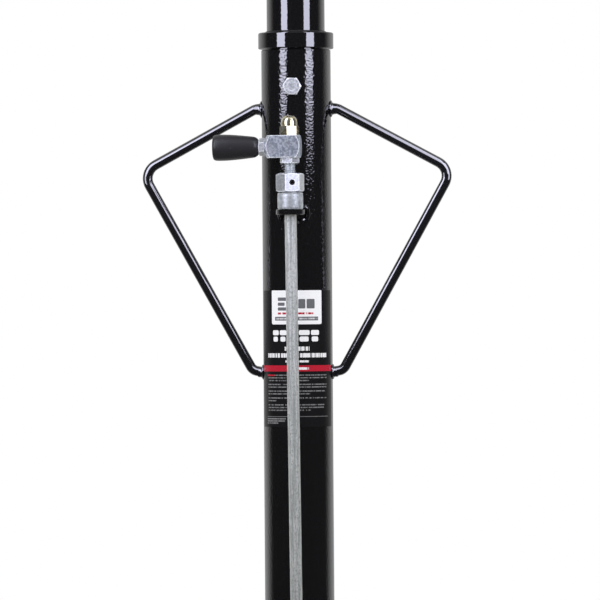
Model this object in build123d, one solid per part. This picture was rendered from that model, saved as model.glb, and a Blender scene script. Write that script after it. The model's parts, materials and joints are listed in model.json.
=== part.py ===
"""A two-stage vertical transmission jack: telescopic column on four swivel casters.

Frame: millimetres, +Z up, origin on the floor below the column's axis. The operator
stands on the -Y side, where the release lever, the rating label and the foot pump are.
Each function below makes one piece or one family of pieces, and keep() writes it.
"""

from build123d import *
import math
import os

# Column, driven by the two tube sizes
OUTER_R = 38.0
OUTER_BORE_R = 34.0
INNER_R = 31.75
INNER_BORE_R = 27.75
RAM_R = 22.5
FIT = 0.05
CLEAR = 0.3
COLUMN_TOP = 950.0
COLLAR_R = 41.2
COLLAR_BASE = 932.4
COLLAR_SPIGOT = 12.0
OUTER_TOP = 931.2
BUSH_TOP = 920.0
BUSH_LENGTH = 22.0
INNER_TOP = 1005.0
INNER_COLLAR_TOP = 1027.0
INNER_FOOT = 150.0
RAM_TOP = 1050.0
RAM_FOOT = 180.0
SADDLE_PIN_R = 15.0
INNER_COLLAR_R = 36.0
INNER_WIPER_SEAT_R = RAM_R + 3.5
WIPER_SEAT_R = 35.2
WIPER_DEPTH = 4.0
WIPER_LIP = 1.8
FOOT_PLUG_TOP = 124.0

# Filler plug at the top of the outer tube, and the oil port at its foot
PLUG_Z = 890.0
PLUG_R = 6.0
PLUG_HEAD = 7.5
PLUG_ACROSS = 18.0
PLUG_WASHER = 1.5
PLUG_WASHER_R = 9.8
PORT_Z = 176.0
PORT_R = 4.0

# Rating label
LABEL_LOW = 518.3
LABEL_HIGH = 667.4
LABEL_HALF_ANGLE = 73.5
LABEL_TURN = 2.2
LABEL_THICK = 0.25

# Base frame
LEG_BOTTOM = 105.0
LEG_TOP = 145.0
LEG_WIDTH = 50.0
LEG_WALL = 3.0
LEG_INNER = 42.0
LEG_OUTER = 375.0
LOWER_PLATE = 8.0
UPPER_PLATE = 6.0
PLATE_SIDE = 200.0
PLATE_CORNER = 35.0
LEG_BOLTS_AT = (76.0, 104.0)
BOLT_R = 5.0
CASTER_AT = 338.0
LEG_ANGLES = {"front_left": 225, "front_right": 315, "rear_left": 135, "rear_right": 45}

# Casters
WHEEL_R = 40.0
WHEEL_WIDTH = 30.0
WHEEL_HUB_R = 13.0
WHEEL_TRAIL = 28.0
AXLE_R = 5.0
FORK_TOP = 89.0
FORK_PLATE = 4.0
FORK_SIDE = 3.5

# Release gear: a rod that leans a little sideways as it goes up
ROD_R = 6.5
ROD_Y = -58.0
ROD_FOOT_X = 3.0
ROD_FOOT = 258.0
LUG_BASE = 749.5
LUG_TOP = 755.5
LUG_X = -1.0
STUD_R = 6.0
COLLAR_RING_R = 14.0
COLLAR_RING_TOP = 773.5
COUPLING_BASE = 774.5
COUPLING_TOP = 794.5
JAM_NUT_BASE = 805.5
BLOCK_BASE = 811.5
BLOCK_TOP = 836.0
BLOCK_DEPTH = 25.0
BLOCK_LEFT = -26.5
BLOCK_RIGHT = 12.5
LEVER_NUT_LENGTH = 7.0
LEVER_STUD_R = 5.0
LEVER_STUD_IN = 14.0
GRUB_R = 2.5
GRUB_FACING = -74.0
GRIP_LENGTH = 50.5
GRIP_R = 14.3
LEAN = math.degrees(math.atan((ROD_FOOT_X - LUG_X) / (LUG_TOP - ROD_FOOT)))

# Side handles, bent from one round bar each
BAR_R = 5.5
HANDLE_TOP = 866.5
HANDLE_CORNER = (171.2, 798.5)
HANDLE_FOOT = 577.5

# Foot pump
PUMP_X = 42.0
PUMP_BACK = -45.0
PUMP_FRONT = -125.0
PUMP_BASE = LEG_TOP + UPPER_PLATE
PUMP_TOP = 201.0
PLUNGER_Y = -100.0
PLUNGER_R = 9.0
PUMP_BOLTS = [(-33, -53), (33, -53), (-33, -117), (33, -117)]
BARREL_R = 15.0
BARREL_HEX = 12.0
BARREL_TOP = 231.0
HEAD_R = 13.0
HEAD_BASE = 275.0
PIVOT_Y = -78.0
PIVOT_Z = 285.0
PIVOT_R = 6.0
PUSHER_ARM = 22.0
PUSHER_ANGLE = 15.0
PUSHER_R = 6.0
PEDAL_SIDE = 35.0
PEDAL_PLATE = 6.0
PEDAL_END = -307.0
PEDAL_PAD = -247.0
PEDAL_TOP = 306.0
PEDAL_CROSS = (-170.0, 296.0)
PEDAL_CROSS_R = 7.0
PUSHER_Y = PIVOT_Y - PUSHER_ARM * math.cos(math.radians(PUSHER_ANGLE))
PUSHER_Z = PIVOT_Z + PUSHER_ARM * math.sin(math.radians(PUSHER_ANGLE))
HEAD_TOP = PUSHER_Z - PUSHER_R - 0.4
SPRING_WIRE = 1.5
SPRING_R = 11.6
SPRING_TURNS = 6

# Saddle
SADDLE_BASE = 1058.0
SADDLE_TOP = 1066.0
SADDLE_SIDE = 180.0
SADDLE_FLANGE_R = 45.0
SADDLE_HOLE_AT = 45.0
SADDLE_HOLE_R = 4.5
CORNERS = {"front_left": (-1, -1), "front_right": (1, -1), "rear_left": (-1, 1), "rear_right": (1, 1)}
ARM_PIVOT = 68.0
ARM_BASE = 1050.0
ARM_LENGTH = 115.0
ARM_WIDTH = 34.0
ARM_GROOVE = (36.0, 94.0)
ARM_GROOVE_R = 5.0
ARM_GROOVE_DEPTH = 2.4
FINGER_HEIGHT = 52.0
FINGER_THICK = 8.0

LOW = (Align.CENTER, Align.CENTER, Align.MIN)


def keep(name, shape):
    """Writes one node."""
    export_step(shape, f"parts/{name}.step")


def group(shapes):
    """Several separate solids as one node."""
    return Compound(children=[solid for shape in shapes for solid in shape.solids()])


def rod(radius, low, high, x=0.0, y=0.0):
    """An upright cylinder from one height to another."""
    return Pos(x, y, low) * Cylinder(radius, high - low, align=LOW)


def slab(x, y, z):
    """A box given by its three (low, high) ranges."""
    size = Box(x[1] - x[0], y[1] - y[0], z[1] - z[0], align=(Align.MIN,) * 3)
    return Pos(x[0], y[0], z[0]) * size


def turned(*points):
    """A solid turned about Z from an outline of (radius, height) points."""
    outline = Polyline(*[(r, 0, z) for r, z in points], close=True)
    return revolve(make_face(outline), Axis.Z)


def hexagon(across_flats, low, high, facing=-90.0, bore=0.0):
    """A hexagon nut or head, its ends chamfered, with one flat facing the given way."""
    corner = across_flats / math.sqrt(3)
    flat = across_flats / 2 * 0.96
    drop = (corner - flat) * math.tan(math.radians(30))
    blank = turned(
        (0, low), (flat, low), (corner, low + drop), (corner, high - drop), (flat, high), (0, high)
    )
    outline = RegularPolygon(corner + 0.01, 6, rotation=facing - 30)
    prism = Pos(0, 0, low) * extrude(outline, high - low)
    nut = blank & prism
    return nut - rod(bore, low, high) if bore else nut


def around(radius, angle):
    """The point at that distance from the axis, in that direction."""
    return radius * math.cos(math.radians(angle)), radius * math.sin(math.radians(angle))


# ---------------------------------------------------------------- column


def outer_tube():
    tube = turned(
        (OUTER_BORE_R, LEG_BOTTOM), (OUTER_R, LEG_BOTTOM), (OUTER_R, OUTER_TOP - 1.0),
        (OUTER_R - 1.0, OUTER_TOP), (OUTER_BORE_R, OUTER_TOP),
    )
    plug_hole = Pos(0, -OUTER_R, PLUG_Z) * Rot(90, 0, 0) * Cylinder(PLUG_R, 20)
    port = Pos(0, -OUTER_R, PORT_Z) * Rot(90, 0, 0) * Cylinder(PORT_R, 20)
    return tube - plug_hole - port


def filler_plug():
    """Hexagon plug with a thin sealing washer, screwed into the tube's wall from the front."""
    place = Pos(0, -OUTER_R, PLUG_Z) * Rot(90, 0, 0)
    head = hexagon(PLUG_ACROSS, PLUG_WASHER, PLUG_HEAD, facing=-90) - rod(5.0, PLUG_HEAD - 0.4, PLUG_HEAD + 1)
    washer = rod(PLUG_WASHER_R, -0.9, PLUG_WASHER)
    shank = rod(PLUG_R, -6.0, 0.0)
    tube_wall = rod(OUTER_R, PLUG_Z - 20, PLUG_Z + 20) - rod(OUTER_R - 6, PLUG_Z - 20, PLUG_Z + 20)
    return place * (head + washer + shank) - tube_wall + place * shank


def column_collar():
    """Gland nut on the outer tube's mouth, with a seat for the wiper."""
    bore = INNER_R + 0.15
    edge = 1.3
    collar = turned(
        (bore, COLLAR_BASE - COLLAR_SPIGOT), (OUTER_BORE_R, COLLAR_BASE - COLLAR_SPIGOT),
        (OUTER_BORE_R, COLLAR_BASE), (COLLAR_R, COLLAR_BASE), (COLLAR_R, COLUMN_TOP),
        (WIPER_SEAT_R, COLUMN_TOP), (WIPER_SEAT_R, COLUMN_TOP - WIPER_DEPTH),
        (bore, COLUMN_TOP - WIPER_DEPTH),
    )
    rims = [e for e in collar.edges().filter_by(GeomType.CIRCLE) if abs(e.radius - COLLAR_R) < 0.01]
    return fillet(rims, edge)


def wiper(bore, seat, base):
    """A rubber wiper ring whose lip stands up round the sliding tube."""
    top = base + WIPER_DEPTH
    return turned(
        (bore, base), (seat, base), (seat, top), (seat - 0.8, top + 0.5),
        (bore + 0.9, top + WIPER_LIP), (bore, top + WIPER_LIP),
    )


def guide_bush():
    return rod(OUTER_BORE_R, BUSH_TOP - BUSH_LENGTH, BUSH_TOP) - rod(
        INNER_R + FIT, BUSH_TOP - BUSH_LENGTH, BUSH_TOP
    )


def cylinder_foot():
    """Plug that closes the outer tube at the bottom, with its seal groove."""
    foot = rod(OUTER_BORE_R, LEG_BOTTOM, FOOT_PLUG_TOP)
    groove = rod(OUTER_BORE_R + 1, 113.0, 117.0) - rod(OUTER_BORE_R - 3, 113.0, 117.0)
    return foot - groove


def inner_tube():
    return rod(INNER_R, INNER_FOOT, INNER_TOP) - rod(INNER_BORE_R, INNER_FOOT, INNER_TOP)


def inner_piston():
    """Piston on the inner tube's foot, and its seal ring as a second solid."""
    head_r = OUTER_BORE_R - CLEAR
    low, high = INNER_FOOT - 22, INNER_FOOT
    piston = rod(head_r, low, high) + rod(INNER_BORE_R, high, high + 14)
    groove = rod(head_r + 1, low + 7, low + 13) - rod(head_r - 4, low + 7, low + 13)
    seal = rod(head_r + 0.15, low + 7, low + 13) - rod(head_r - 4, low + 7, low + 13)
    port = rod(5.0, low - 1, high + 15)
    return group([piston - groove - port, seal])


def inner_collar():
    """Head of the inner tube, with a spigot inside it."""
    bore = RAM_R + 0.15
    seat = INNER_WIPER_SEAT_R
    collar = turned(
        (bore, INNER_TOP - 18), (INNER_BORE_R, INNER_TOP - 18), (INNER_BORE_R, INNER_TOP),
        (INNER_COLLAR_R, INNER_TOP), (INNER_COLLAR_R, INNER_COLLAR_TOP), (seat, INNER_COLLAR_TOP),
        (seat, INNER_COLLAR_TOP - WIPER_DEPTH), (bore, INNER_COLLAR_TOP - WIPER_DEPTH),
    )
    rims = [e for e in collar.edges().filter_by(GeomType.CIRCLE) if abs(e.radius - INNER_COLLAR_R) < 0.01]
    return fillet(rims, 1.5)


def inner_bush():
    high = INNER_TOP - 18
    return rod(INNER_BORE_R, high - 35, high) - rod(RAM_R + FIT, high - 35, high)


def ram_rod():
    ram = rod(RAM_R, RAM_FOOT, RAM_TOP)
    ram = chamfer(ram.edges().filter_by(GeomType.CIRCLE).sort_by(Axis.Z)[-1], 1.5)
    return ram - rod(SADDLE_PIN_R + FIT, RAM_TOP - 70, RAM_TOP)


def ram_piston():
    """Piston on the ram's foot, and its seal ring as a second solid."""
    head_r = INNER_BORE_R - CLEAR
    low, high = RAM_FOOT - 14, RAM_FOOT
    piston = rod(head_r, low, high)
    groove = rod(head_r + 1, low + 4, low + 9) - rod(head_r - 4, low + 4, low + 9)
    seal = rod(head_r + 0.15, low + 4, low + 9) - rod(head_r - 4, low + 4, low + 9)
    return group([piston - groove, seal])


def weld(radius, reach):
    """A hollow-sided weld bead round a bar, its foot at height 0."""
    waist = BAR_R + (radius - BAR_R) * 0.42
    tip = BAR_R - 0.6
    top = reach + 0.8
    return turned((0, -3), (radius, -3), (radius, 0), (waist, reach * 0.42), (tip, top), (0, top))


def side_handle(side):
    """Bent round bar with a weld bead at each end, cut to the tube it is welded to."""
    corner_x, corner_z = HANDLE_CORNER
    path = FilletPolyline(
        (OUTER_R - 3, 0, HANDLE_TOP), (OUTER_R + 7.5, 0, HANDLE_TOP), (corner_x, 0, corner_z),
        (OUTER_R + 12.0, 0, HANDLE_FOOT + 2.5), (OUTER_R - 3, 0, HANDLE_FOOT), radius=(8.0, 17.0, 10.0),
    )
    bar = sweep(Plane(path @ 0, z_dir=path % 0) * Circle(BAR_R), path)
    upper = Pos(OUTER_R - 0.6, 0, HANDLE_TOP) * Rot(0, 90, 0) * weld(11.0, 6.5)
    lower = Pos(OUTER_R - 0.6, 0, HANDLE_FOOT + 0.4) * Rot(0, 90, 0) * weld(9.0, 6.0)
    handle = bar + upper + lower - rod(OUTER_R, 400, 920)
    return handle if side > 0 else mirror(handle, Plane.YZ)


def label():
    """Rating label: a thin curved sheet on the tube's front."""
    ring = rod(OUTER_R + LABEL_THICK, LABEL_LOW, LABEL_HIGH) - rod(OUTER_R, LABEL_LOW, LABEL_HIGH)
    far = 60.0
    left = around(far, LABEL_TURN - 90 - LABEL_HALF_ANGLE)
    right = around(far, LABEL_TURN - 90 + LABEL_HALF_ANGLE)
    front = around(far * 4, LABEL_TURN - 90)
    wedge = make_face(Polyline((0, 0), left, (left[0] + front[0], left[1] + front[1]),
                               (right[0] + front[0], right[1] + front[1]), right, close=True))
    return ring & (Pos(0, 0, LABEL_LOW) * extrude(wedge, LABEL_HIGH - LABEL_LOW))


# ---------------------------------------------------------------- release gear


def leaning(shape):
    """Puts a piece made on the Z axis onto the release rod's leaning axis."""
    return Pos(LUG_X, ROD_Y, LUG_TOP) * Rot(0, -LEAN, 0) * Pos(0, 0, -LUG_TOP) * shape


def rod_bracket():
    """Lug with an eye for the rod, on a deeper root that is welded to the tube."""
    eye_r = 15.8
    eye = rod(eye_r, LUG_BASE, LUG_TOP, LUG_X, ROD_Y)
    neck = slab((LUG_X - 14.0, LUG_X + 15.0), (ROD_Y, -OUTER_R + 10), (LUG_BASE, LUG_TOP))
    root_x, root_z = (LUG_X - 13.0, LUG_X + 17.5), (LUG_BASE - 9, LUG_TOP + 1.5)
    root = slab(root_x, (-OUTER_R - 5.5, -OUTER_R + 10), root_z)
    root = fillet(root.edges().filter_by(Axis.Y), 5.0)
    root = fillet(root.faces().sort_by(Axis.Y)[0].edges(), 3.0)
    lug = eye + neck + root - rod(OUTER_R, LUG_BASE - 20, LUG_TOP + 20)
    return lug - leaning(rod(ROD_R + 0.1, LUG_BASE - 20, LUG_TOP + 20))


def release_rod():
    return leaning(rod(ROD_R, ROD_FOOT - 70, COUPLING_BASE + 9.5))


def knurled_collar():
    low, high, edge = LUG_TOP + CLEAR, COLLAR_RING_TOP, 1.2
    ring = turned(
        (ROD_R, low), (COLLAR_RING_R - 0.4, low), (COLLAR_RING_R, low + 0.4),
        (COLLAR_RING_R, high - edge), (COLLAR_RING_R - edge, high), (ROD_R, high),
    )
    return leaning(ring)


def hex_coupling():
    """Long nut that joins the rod to the lever's stud, with a tapped cross hole."""
    nut = hexagon(27.0, COUPLING_BASE, COUPLING_TOP, facing=GRUB_FACING)
    nut -= rod(ROD_R, COUPLING_BASE, COUPLING_BASE + 9.5)
    nut -= rod(STUD_R, COUPLING_BASE + 9.5, COUPLING_TOP)
    return leaning(nut - grub_hole())


def grub_hole():
    high = (COUPLING_BASE + COUPLING_TOP) / 2
    hole = Cylinder(GRUB_R, 14, align=LOW)
    return Pos(0, 0, high) * Rot(0, 0, GRUB_FACING) * Rot(0, 90, 0) * Pos(0, 0, 6.6) * hole


def grub_screw():
    """Socket set screw, just below the flat."""
    high = (COUPLING_BASE + COUPLING_TOP) / 2
    screw = Cylinder(GRUB_R, 6.2, align=LOW)
    socket = Pos(0, 0, 3.7) * extrude(RegularPolygon(1.4, 6), 2.5)
    place = Pos(0, 0, high) * Rot(0, 0, GRUB_FACING) * Rot(0, 90, 0) * Pos(0, 0, 6.7)
    return leaning(place * (screw - socket))


def spindle_stud():
    return leaning(rod(STUD_R, COUPLING_BASE + 9.5, BLOCK_TOP + 14))


def jam_nut():
    return leaning(hexagon(19.0, JAM_NUT_BASE, BLOCK_BASE, facing=-101.6, bore=STUD_R))


def dome_nut():
    """Closed nut on top of the lever block."""
    hexa_top = BLOCK_TOP + 10
    top = BLOCK_TOP + 22
    blank = hexagon(19.0, BLOCK_TOP, hexa_top + 0.6, facing=-69.0)
    tip = (1.5, 0, top)
    shoulder = (9.0, 0, hexa_top + 3.5)
    wall = Polyline(tip, (0, 0, top), (0, 0, hexa_top - 1), (9.0, 0, hexa_top - 1), shoulder)
    crown = ThreePointArc(shoulder, (6.6, 0, top - 2.8), tip)
    dome = revolve(make_face([wall, crown]), Axis.Z)
    return leaning(blank + dome - rod(STUD_R, BLOCK_TOP, BLOCK_TOP + 14))


def lever_block():
    """Square bar with turned ends: the stud passes up through it, the lever screws into its left end."""
    middle = (BLOCK_BASE + BLOCK_TOP) / 2
    half = BLOCK_DEPTH / 2
    bar = slab((BLOCK_LEFT, BLOCK_RIGHT), (-half, half), (BLOCK_BASE, BLOCK_TOP))
    bar = chamfer(bar.edges().filter_by(Axis.X), 0.7)
    length = BLOCK_RIGHT - BLOCK_LEFT
    rim, shoulder, corner = 8.2, 12.2, 17.6
    left_end = ThreePointArc((rim, 0, 0), (shoulder, 0, 1.8), (corner, 0, 6.0))
    right_end = ThreePointArc(
        (corner, 0, length - 5.6), (shoulder + 0.8, 0, length - 1.4), (rim + 2, 0, length)
    )
    sides = [
        Line((0, 0, 0), (rim, 0, 0)), Line((corner, 0, 6.0), (corner, 0, length - 5.6)),
        Line((rim + 2, 0, length), (0, 0, length)), Line((0, 0, length), (0, 0, 0)),
    ]
    blank = revolve(make_face([left_end, right_end, *sides]), Axis.Z)
    bar &= Pos(BLOCK_LEFT, 0, middle) * Rot(0, 90, 0) * blank
    bar -= rod(STUD_R, BLOCK_BASE, BLOCK_TOP)
    bar -= Pos(BLOCK_LEFT, 0, middle) * Rot(0, 90, 0) * Cylinder(LEVER_STUD_R, 14, align=LOW)
    return leaning(bar)


def lever_nut():
    """Lock nut on the lever's stud, and the stud itself as a second solid."""
    middle = (BLOCK_BASE + BLOCK_TOP) / 2
    nut = hexagon(17.0, 0, LEVER_NUT_LENGTH, facing=-90, bore=LEVER_STUD_R)
    stud = rod(LEVER_STUD_R, -LEVER_STUD_IN, LEVER_NUT_LENGTH + 30)
    place = Pos(BLOCK_LEFT, 0, middle) * Rot(0, -90, 0)
    return group([leaning(place * nut), leaning(place * stud)])


def lever_grip():
    """Tapered plastic grip, widest at its outer end."""
    middle = (BLOCK_BASE + BLOCK_TOP) / 2
    end = GRIP_LENGTH
    shoulder = ThreePointArc((7.6, 0, 0), (10.2, 0, 2.4), (11.6, 0, 5.6))
    flank = ThreePointArc((11.6, 0, 5.6), (13.4, 0, 22.0), (GRIP_R, 0, 37.0))
    rim = ThreePointArc(
        (GRIP_R - 0.2, 0, end - 3.6), (GRIP_R - 1.0, 0, end - 1.4), (GRIP_R - 2.8, 0, end - 0.5)
    )
    sides = [
        Line((GRIP_R, 0, 37.0), (GRIP_R - 0.2, 0, end - 3.6)),
        ThreePointArc((GRIP_R - 2.8, 0, end - 0.5), (7.0, 0, end - 0.1), (3.0, 0, end)),
        Line((3.0, 0, end), (0, 0, end)), Line((0, 0, end), (0, 0, 0)), Line((0, 0, 0), (7.6, 0, 0)),
    ]
    grip = revolve(make_face([shoulder, flank, rim, *sides]), Axis.Z)
    grip -= rod(LEVER_STUD_R, 0, 30)
    return leaning(Pos(BLOCK_LEFT - LEVER_NUT_LENGTH, 0, middle) * Rot(0, -90, 0) * grip)


def release_gland():
    """Packing gland on the pump block, round the foot of the release rod."""
    x = ROD_FOOT_X + math.tan(math.radians(LEAN)) * (ROD_FOOT - PUMP_TOP)
    gland = rod(13.0, PUMP_TOP, PUMP_TOP + 4) + hexagon(24.0, PUMP_TOP + 4, PUMP_TOP + 18, facing=-90)
    return Pos(x, ROD_Y, 0) * gland - leaning(rod(ROD_R + 0.1, PUMP_TOP - 5, PUMP_TOP + 25))


# ---------------------------------------------------------------- base frame


def frame_plate(low, thickness):
    half = PLATE_SIDE / 2
    plate = slab((-half, half), (-half, half), (low, low + thickness))
    plate = chamfer(plate.edges().filter_by(Axis.Z), PLATE_CORNER)
    for angle in LEG_ANGLES.values():
        for reach in LEG_BOLTS_AT:
            plate -= rod(BOLT_R + 0.25, low, low + thickness, *around(reach, angle))
    return plate


def leg(angle):
    """Hollow box-section leg with clearance holes for its frame bolts."""
    half = LEG_WIDTH / 2
    box = slab((LEG_INNER, LEG_OUTER), (-half, half), (LEG_BOTTOM, LEG_TOP))
    box = fillet(box.edges().filter_by(Axis.X), 4.0)
    inside = slab((LEG_INNER - 1, LEG_OUTER + 1), (LEG_WALL - half, half - LEG_WALL),
                  (LEG_BOTTOM + LEG_WALL, LEG_TOP - LEG_WALL))
    inside = fillet(inside.edges().filter_by(Axis.X), 1.5)
    for reach in LEG_BOLTS_AT:
        inside += rod(BOLT_R + 0.25, LEG_BOTTOM - 1, LEG_TOP + 1, reach, 0)
    return Rot(0, 0, angle) * (box - inside)


def leg_end_cap(angle):
    """Moulded plug in the open end of a leg."""
    half = LEG_WIDTH / 2 - LEG_WALL
    face = slab((LEG_OUTER, LEG_OUTER + 3), (-half - 2.5, half + 2.5), (LEG_BOTTOM + 0.5, LEG_TOP - 0.5))
    face = fillet(face.edges().filter_by(Axis.X), 3.5)
    face = chamfer(face.faces().sort_by(Axis.X)[-1].edges(), 1.2)
    stub = slab((LEG_OUTER - 14, LEG_OUTER), (-half + 0.1, half - 0.1),
                (LEG_BOTTOM + LEG_WALL + 0.1, LEG_TOP - LEG_WALL - 0.1))
    stub = fillet(stub.edges().filter_by(Axis.X), 1.6)
    return Rot(0, 0, angle) * (face + stub)


def leg_fasteners():
    """A bolt with its nut and washer, at each of the eight frame holes."""
    low = LEG_BOTTOM - LOWER_PLATE
    bolt = rod(BOLT_R, low - 11, PUMP_BASE) + hexagon(17.0, PUMP_BASE, PUMP_BASE + 6.4)
    nut = hexagon(17.0, low - 8.5, low, bore=BOLT_R)
    made = []
    for angle in LEG_ANGLES.values():
        for reach in LEG_BOLTS_AT:
            x, y = around(reach, angle)
            made += [Pos(x, y, 0) * bolt, Pos(x, y, 0) * nut]
    return group(made)


def caster_plate(angle):
    """Caster's top plate with the upper half of its ball race, welded under the leg."""
    plate = slab((CASTER_AT - 36, CASTER_AT + 36), (-30, 30), (LEG_BOTTOM - 6, LEG_BOTTOM))
    plate = fillet(plate.edges().filter_by(Axis.Z), 6.0)
    race = turned(
        (0, FORK_TOP + 1.0), (19, FORK_TOP + 1.0), (25, LEG_BOTTOM - 8), (25, LEG_BOTTOM - 6),
        (0, LEG_BOTTOM - 6),
    )
    return Rot(0, 0, angle) * (plate + Pos(CASTER_AT, 0, 0) * race)


def caster_fork():
    """Fork at the origin's swivel axis, trailing towards +Y, with the axle bolt as a second solid."""
    crown = rod(27.0, FORK_TOP - FORK_PLATE, FORK_TOP)
    inner = WHEEL_WIDTH / 2 + 1.5
    outer = inner + FORK_SIDE
    cheek = Polyline(
        (0, -22, FORK_TOP), (0, 24, FORK_TOP), (0, WHEEL_TRAIL + 13, WHEEL_R + 6),
        (0, WHEEL_TRAIL + 11, WHEEL_R - 8), (0, WHEEL_TRAIL - 11, WHEEL_R - 8),
        (0, WHEEL_TRAIL - 14, WHEEL_R + 4), close=True,
    )
    plate = extrude(make_face(cheek), FORK_SIDE, dir=(1, 0, 0))
    plate = fillet(plate.edges().filter_by(Axis.X).filter_by(lambda e: e.center().Z < WHEEL_R + 10), 5.0)
    bridge = slab((-outer, outer), (-22, 24), (FORK_TOP - FORK_PLATE, FORK_TOP))
    fork = crown + bridge + Pos(inner, 0, 0) * plate + Pos(-outer, 0, 0) * plate
    lie = Pos(0, WHEEL_TRAIL, WHEEL_R) * Rot(0, 90, 0)
    fork -= lie * Cylinder(AXLE_R, 4 * outer)
    shank = lie * rod(AXLE_R, -outer, outer + 7)
    axle = shank + lie * hexagon(13.0, -outer - 5.3, -outer) + lie * hexagon(13.0, outer, outer + 6.5)
    return group([fork, axle])


def caster_wheel():
    """One-piece moulded wheel with a recessed web."""
    half = WHEEL_WIDTH / 2
    hub = half + 1.0
    crown = 1.8
    wheel = turned(
        (AXLE_R + 0.08, -hub), (WHEEL_HUB_R, -hub), (WHEEL_HUB_R, -half + 7), (WHEEL_R - 11, -half + 7),
        (WHEEL_R - 11, -half + 1), (WHEEL_R - 4, -half), (WHEEL_R - crown, -half + 2), (WHEEL_R, -half + 7),
        (WHEEL_R, half - 7), (WHEEL_R - crown, half - 2), (WHEEL_R - 4, half), (WHEEL_R - 11, half - 1),
        (WHEEL_R - 11, half - 7), (WHEEL_HUB_R, half - 7), (WHEEL_HUB_R, hub), (AXLE_R + 0.08, hub),
    )
    return Pos(0, WHEEL_TRAIL, WHEEL_R) * Rot(0, 90, 0) * wheel


# ---------------------------------------------------------------- foot pump


def pump_block():
    block = slab((-PUMP_X, PUMP_X), (PUMP_FRONT, PUMP_BACK), (PUMP_BASE, PUMP_TOP))
    block = chamfer(block.edges().filter_by(Axis.Z), 4.0)
    block = chamfer(block.faces().sort_by(Axis.Z)[-1].edges(), 1.5)
    nose = slab((-17, 17), (PUMP_BACK, -OUTER_R + 8), (PUMP_BASE + 6, PUMP_TOP - 6)) - rod(OUTER_R, 100, 300)
    block += nose
    block -= rod(PLUNGER_R + FIT, PUMP_BASE + 8, PUMP_TOP, 0, PLUNGER_Y)
    block -= leaning(rod(ROD_R + 0.1, 180, PUMP_TOP + 5))
    for x, y in PUMP_BOLTS:
        block -= rod(4.2, PUMP_BASE, PUMP_TOP, x, y)
    return block


def pump_block_bolts():
    """Socket head cap screws that hold the pump block down."""
    bolt = rod(4.0, PUMP_BASE, PUMP_TOP) + rod(6.5, PUMP_TOP, PUMP_TOP + 8)
    bolt = chamfer(bolt.edges().filter_by(GeomType.CIRCLE).sort_by(Axis.Z)[-1], 0.8)
    bolt -= Pos(0, 0, PUMP_TOP + 4) * extrude(RegularPolygon(3.6, 6), 5)
    return group([Pos(x, y, 0) * bolt for x, y in PUMP_BOLTS])


def pump_barrel():
    """Gland that guides the plunger, with a hexagon collar."""
    collar_top = PUMP_TOP + BARREL_HEX
    barrel = rod(BARREL_R, collar_top, BARREL_TOP) + hexagon(32.0, PUMP_TOP, collar_top)
    barrel = chamfer(barrel.edges().filter_by(GeomType.CIRCLE).sort_by(Axis.Z)[-1], 1.0)
    return Pos(0, PLUNGER_Y, 0) * (barrel - rod(PLUNGER_R + FIT, PUMP_TOP, BARREL_TOP))


def pump_plunger():
    """Plunger with the flanged head that the pedal pushes down."""
    body = rod(PLUNGER_R, PUMP_BASE + 22, HEAD_BASE) + rod(HEAD_R, HEAD_BASE, HEAD_TOP)
    body = fillet(body.edges().filter_by(GeomType.CIRCLE).sort_by(Axis.Z)[-1], 1.5)
    return Pos(0, PLUNGER_Y, 0) * body


def plunger_spring():
    """Compression spring between the barrel and the plunger's head."""
    low = BARREL_TOP + SPRING_WIRE + 0.1
    high = HEAD_BASE - SPRING_WIRE - 0.1
    path = Helix(pitch=(high - low) / SPRING_TURNS, height=high - low, radius=SPRING_R)
    wire = sweep(Plane(path @ 0, z_dir=path % 0) * Circle(SPRING_WIRE), path)
    return Pos(0, PLUNGER_Y, low) * wire


def pedal_ears():
    """Two plates on the pump block that carry the pedal, and the pedal's pin as a third solid."""
    inner = PUMP_X
    outer = PUMP_X + 6
    side = Polyline(
        (0, -66, PUMP_BASE), (0, -94, PUMP_BASE), (0, -94, 215), (0, PIVOT_Y - 12, PIVOT_Z),
        (0, PIVOT_Y, PIVOT_Z + 12), (0, PIVOT_Y + 12, PIVOT_Z), (0, -66, 215), close=True,
    )
    plate = extrude(make_face(side), outer - inner, dir=(1, 0, 0))
    plate = fillet(plate.edges().filter_by(Axis.X).filter_by(lambda e: e.center().Z > PIVOT_Z - 1), 4.5)
    lie = Pos(0, PIVOT_Y, PIVOT_Z) * Rot(0, 90, 0)
    plate_right = Pos(inner, 0, 0) * plate - lie * Cylinder(PIVOT_R, 200)
    plate_left = Pos(-outer, 0, 0) * plate - lie * Cylinder(PIVOT_R, 200)
    pin = lie * rod(PIVOT_R, -outer - 3, outer + 3) + lie * rod(9.0, -outer - 6, -outer - 0.1)
    return group([plate_right, plate_left, pin])


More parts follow.
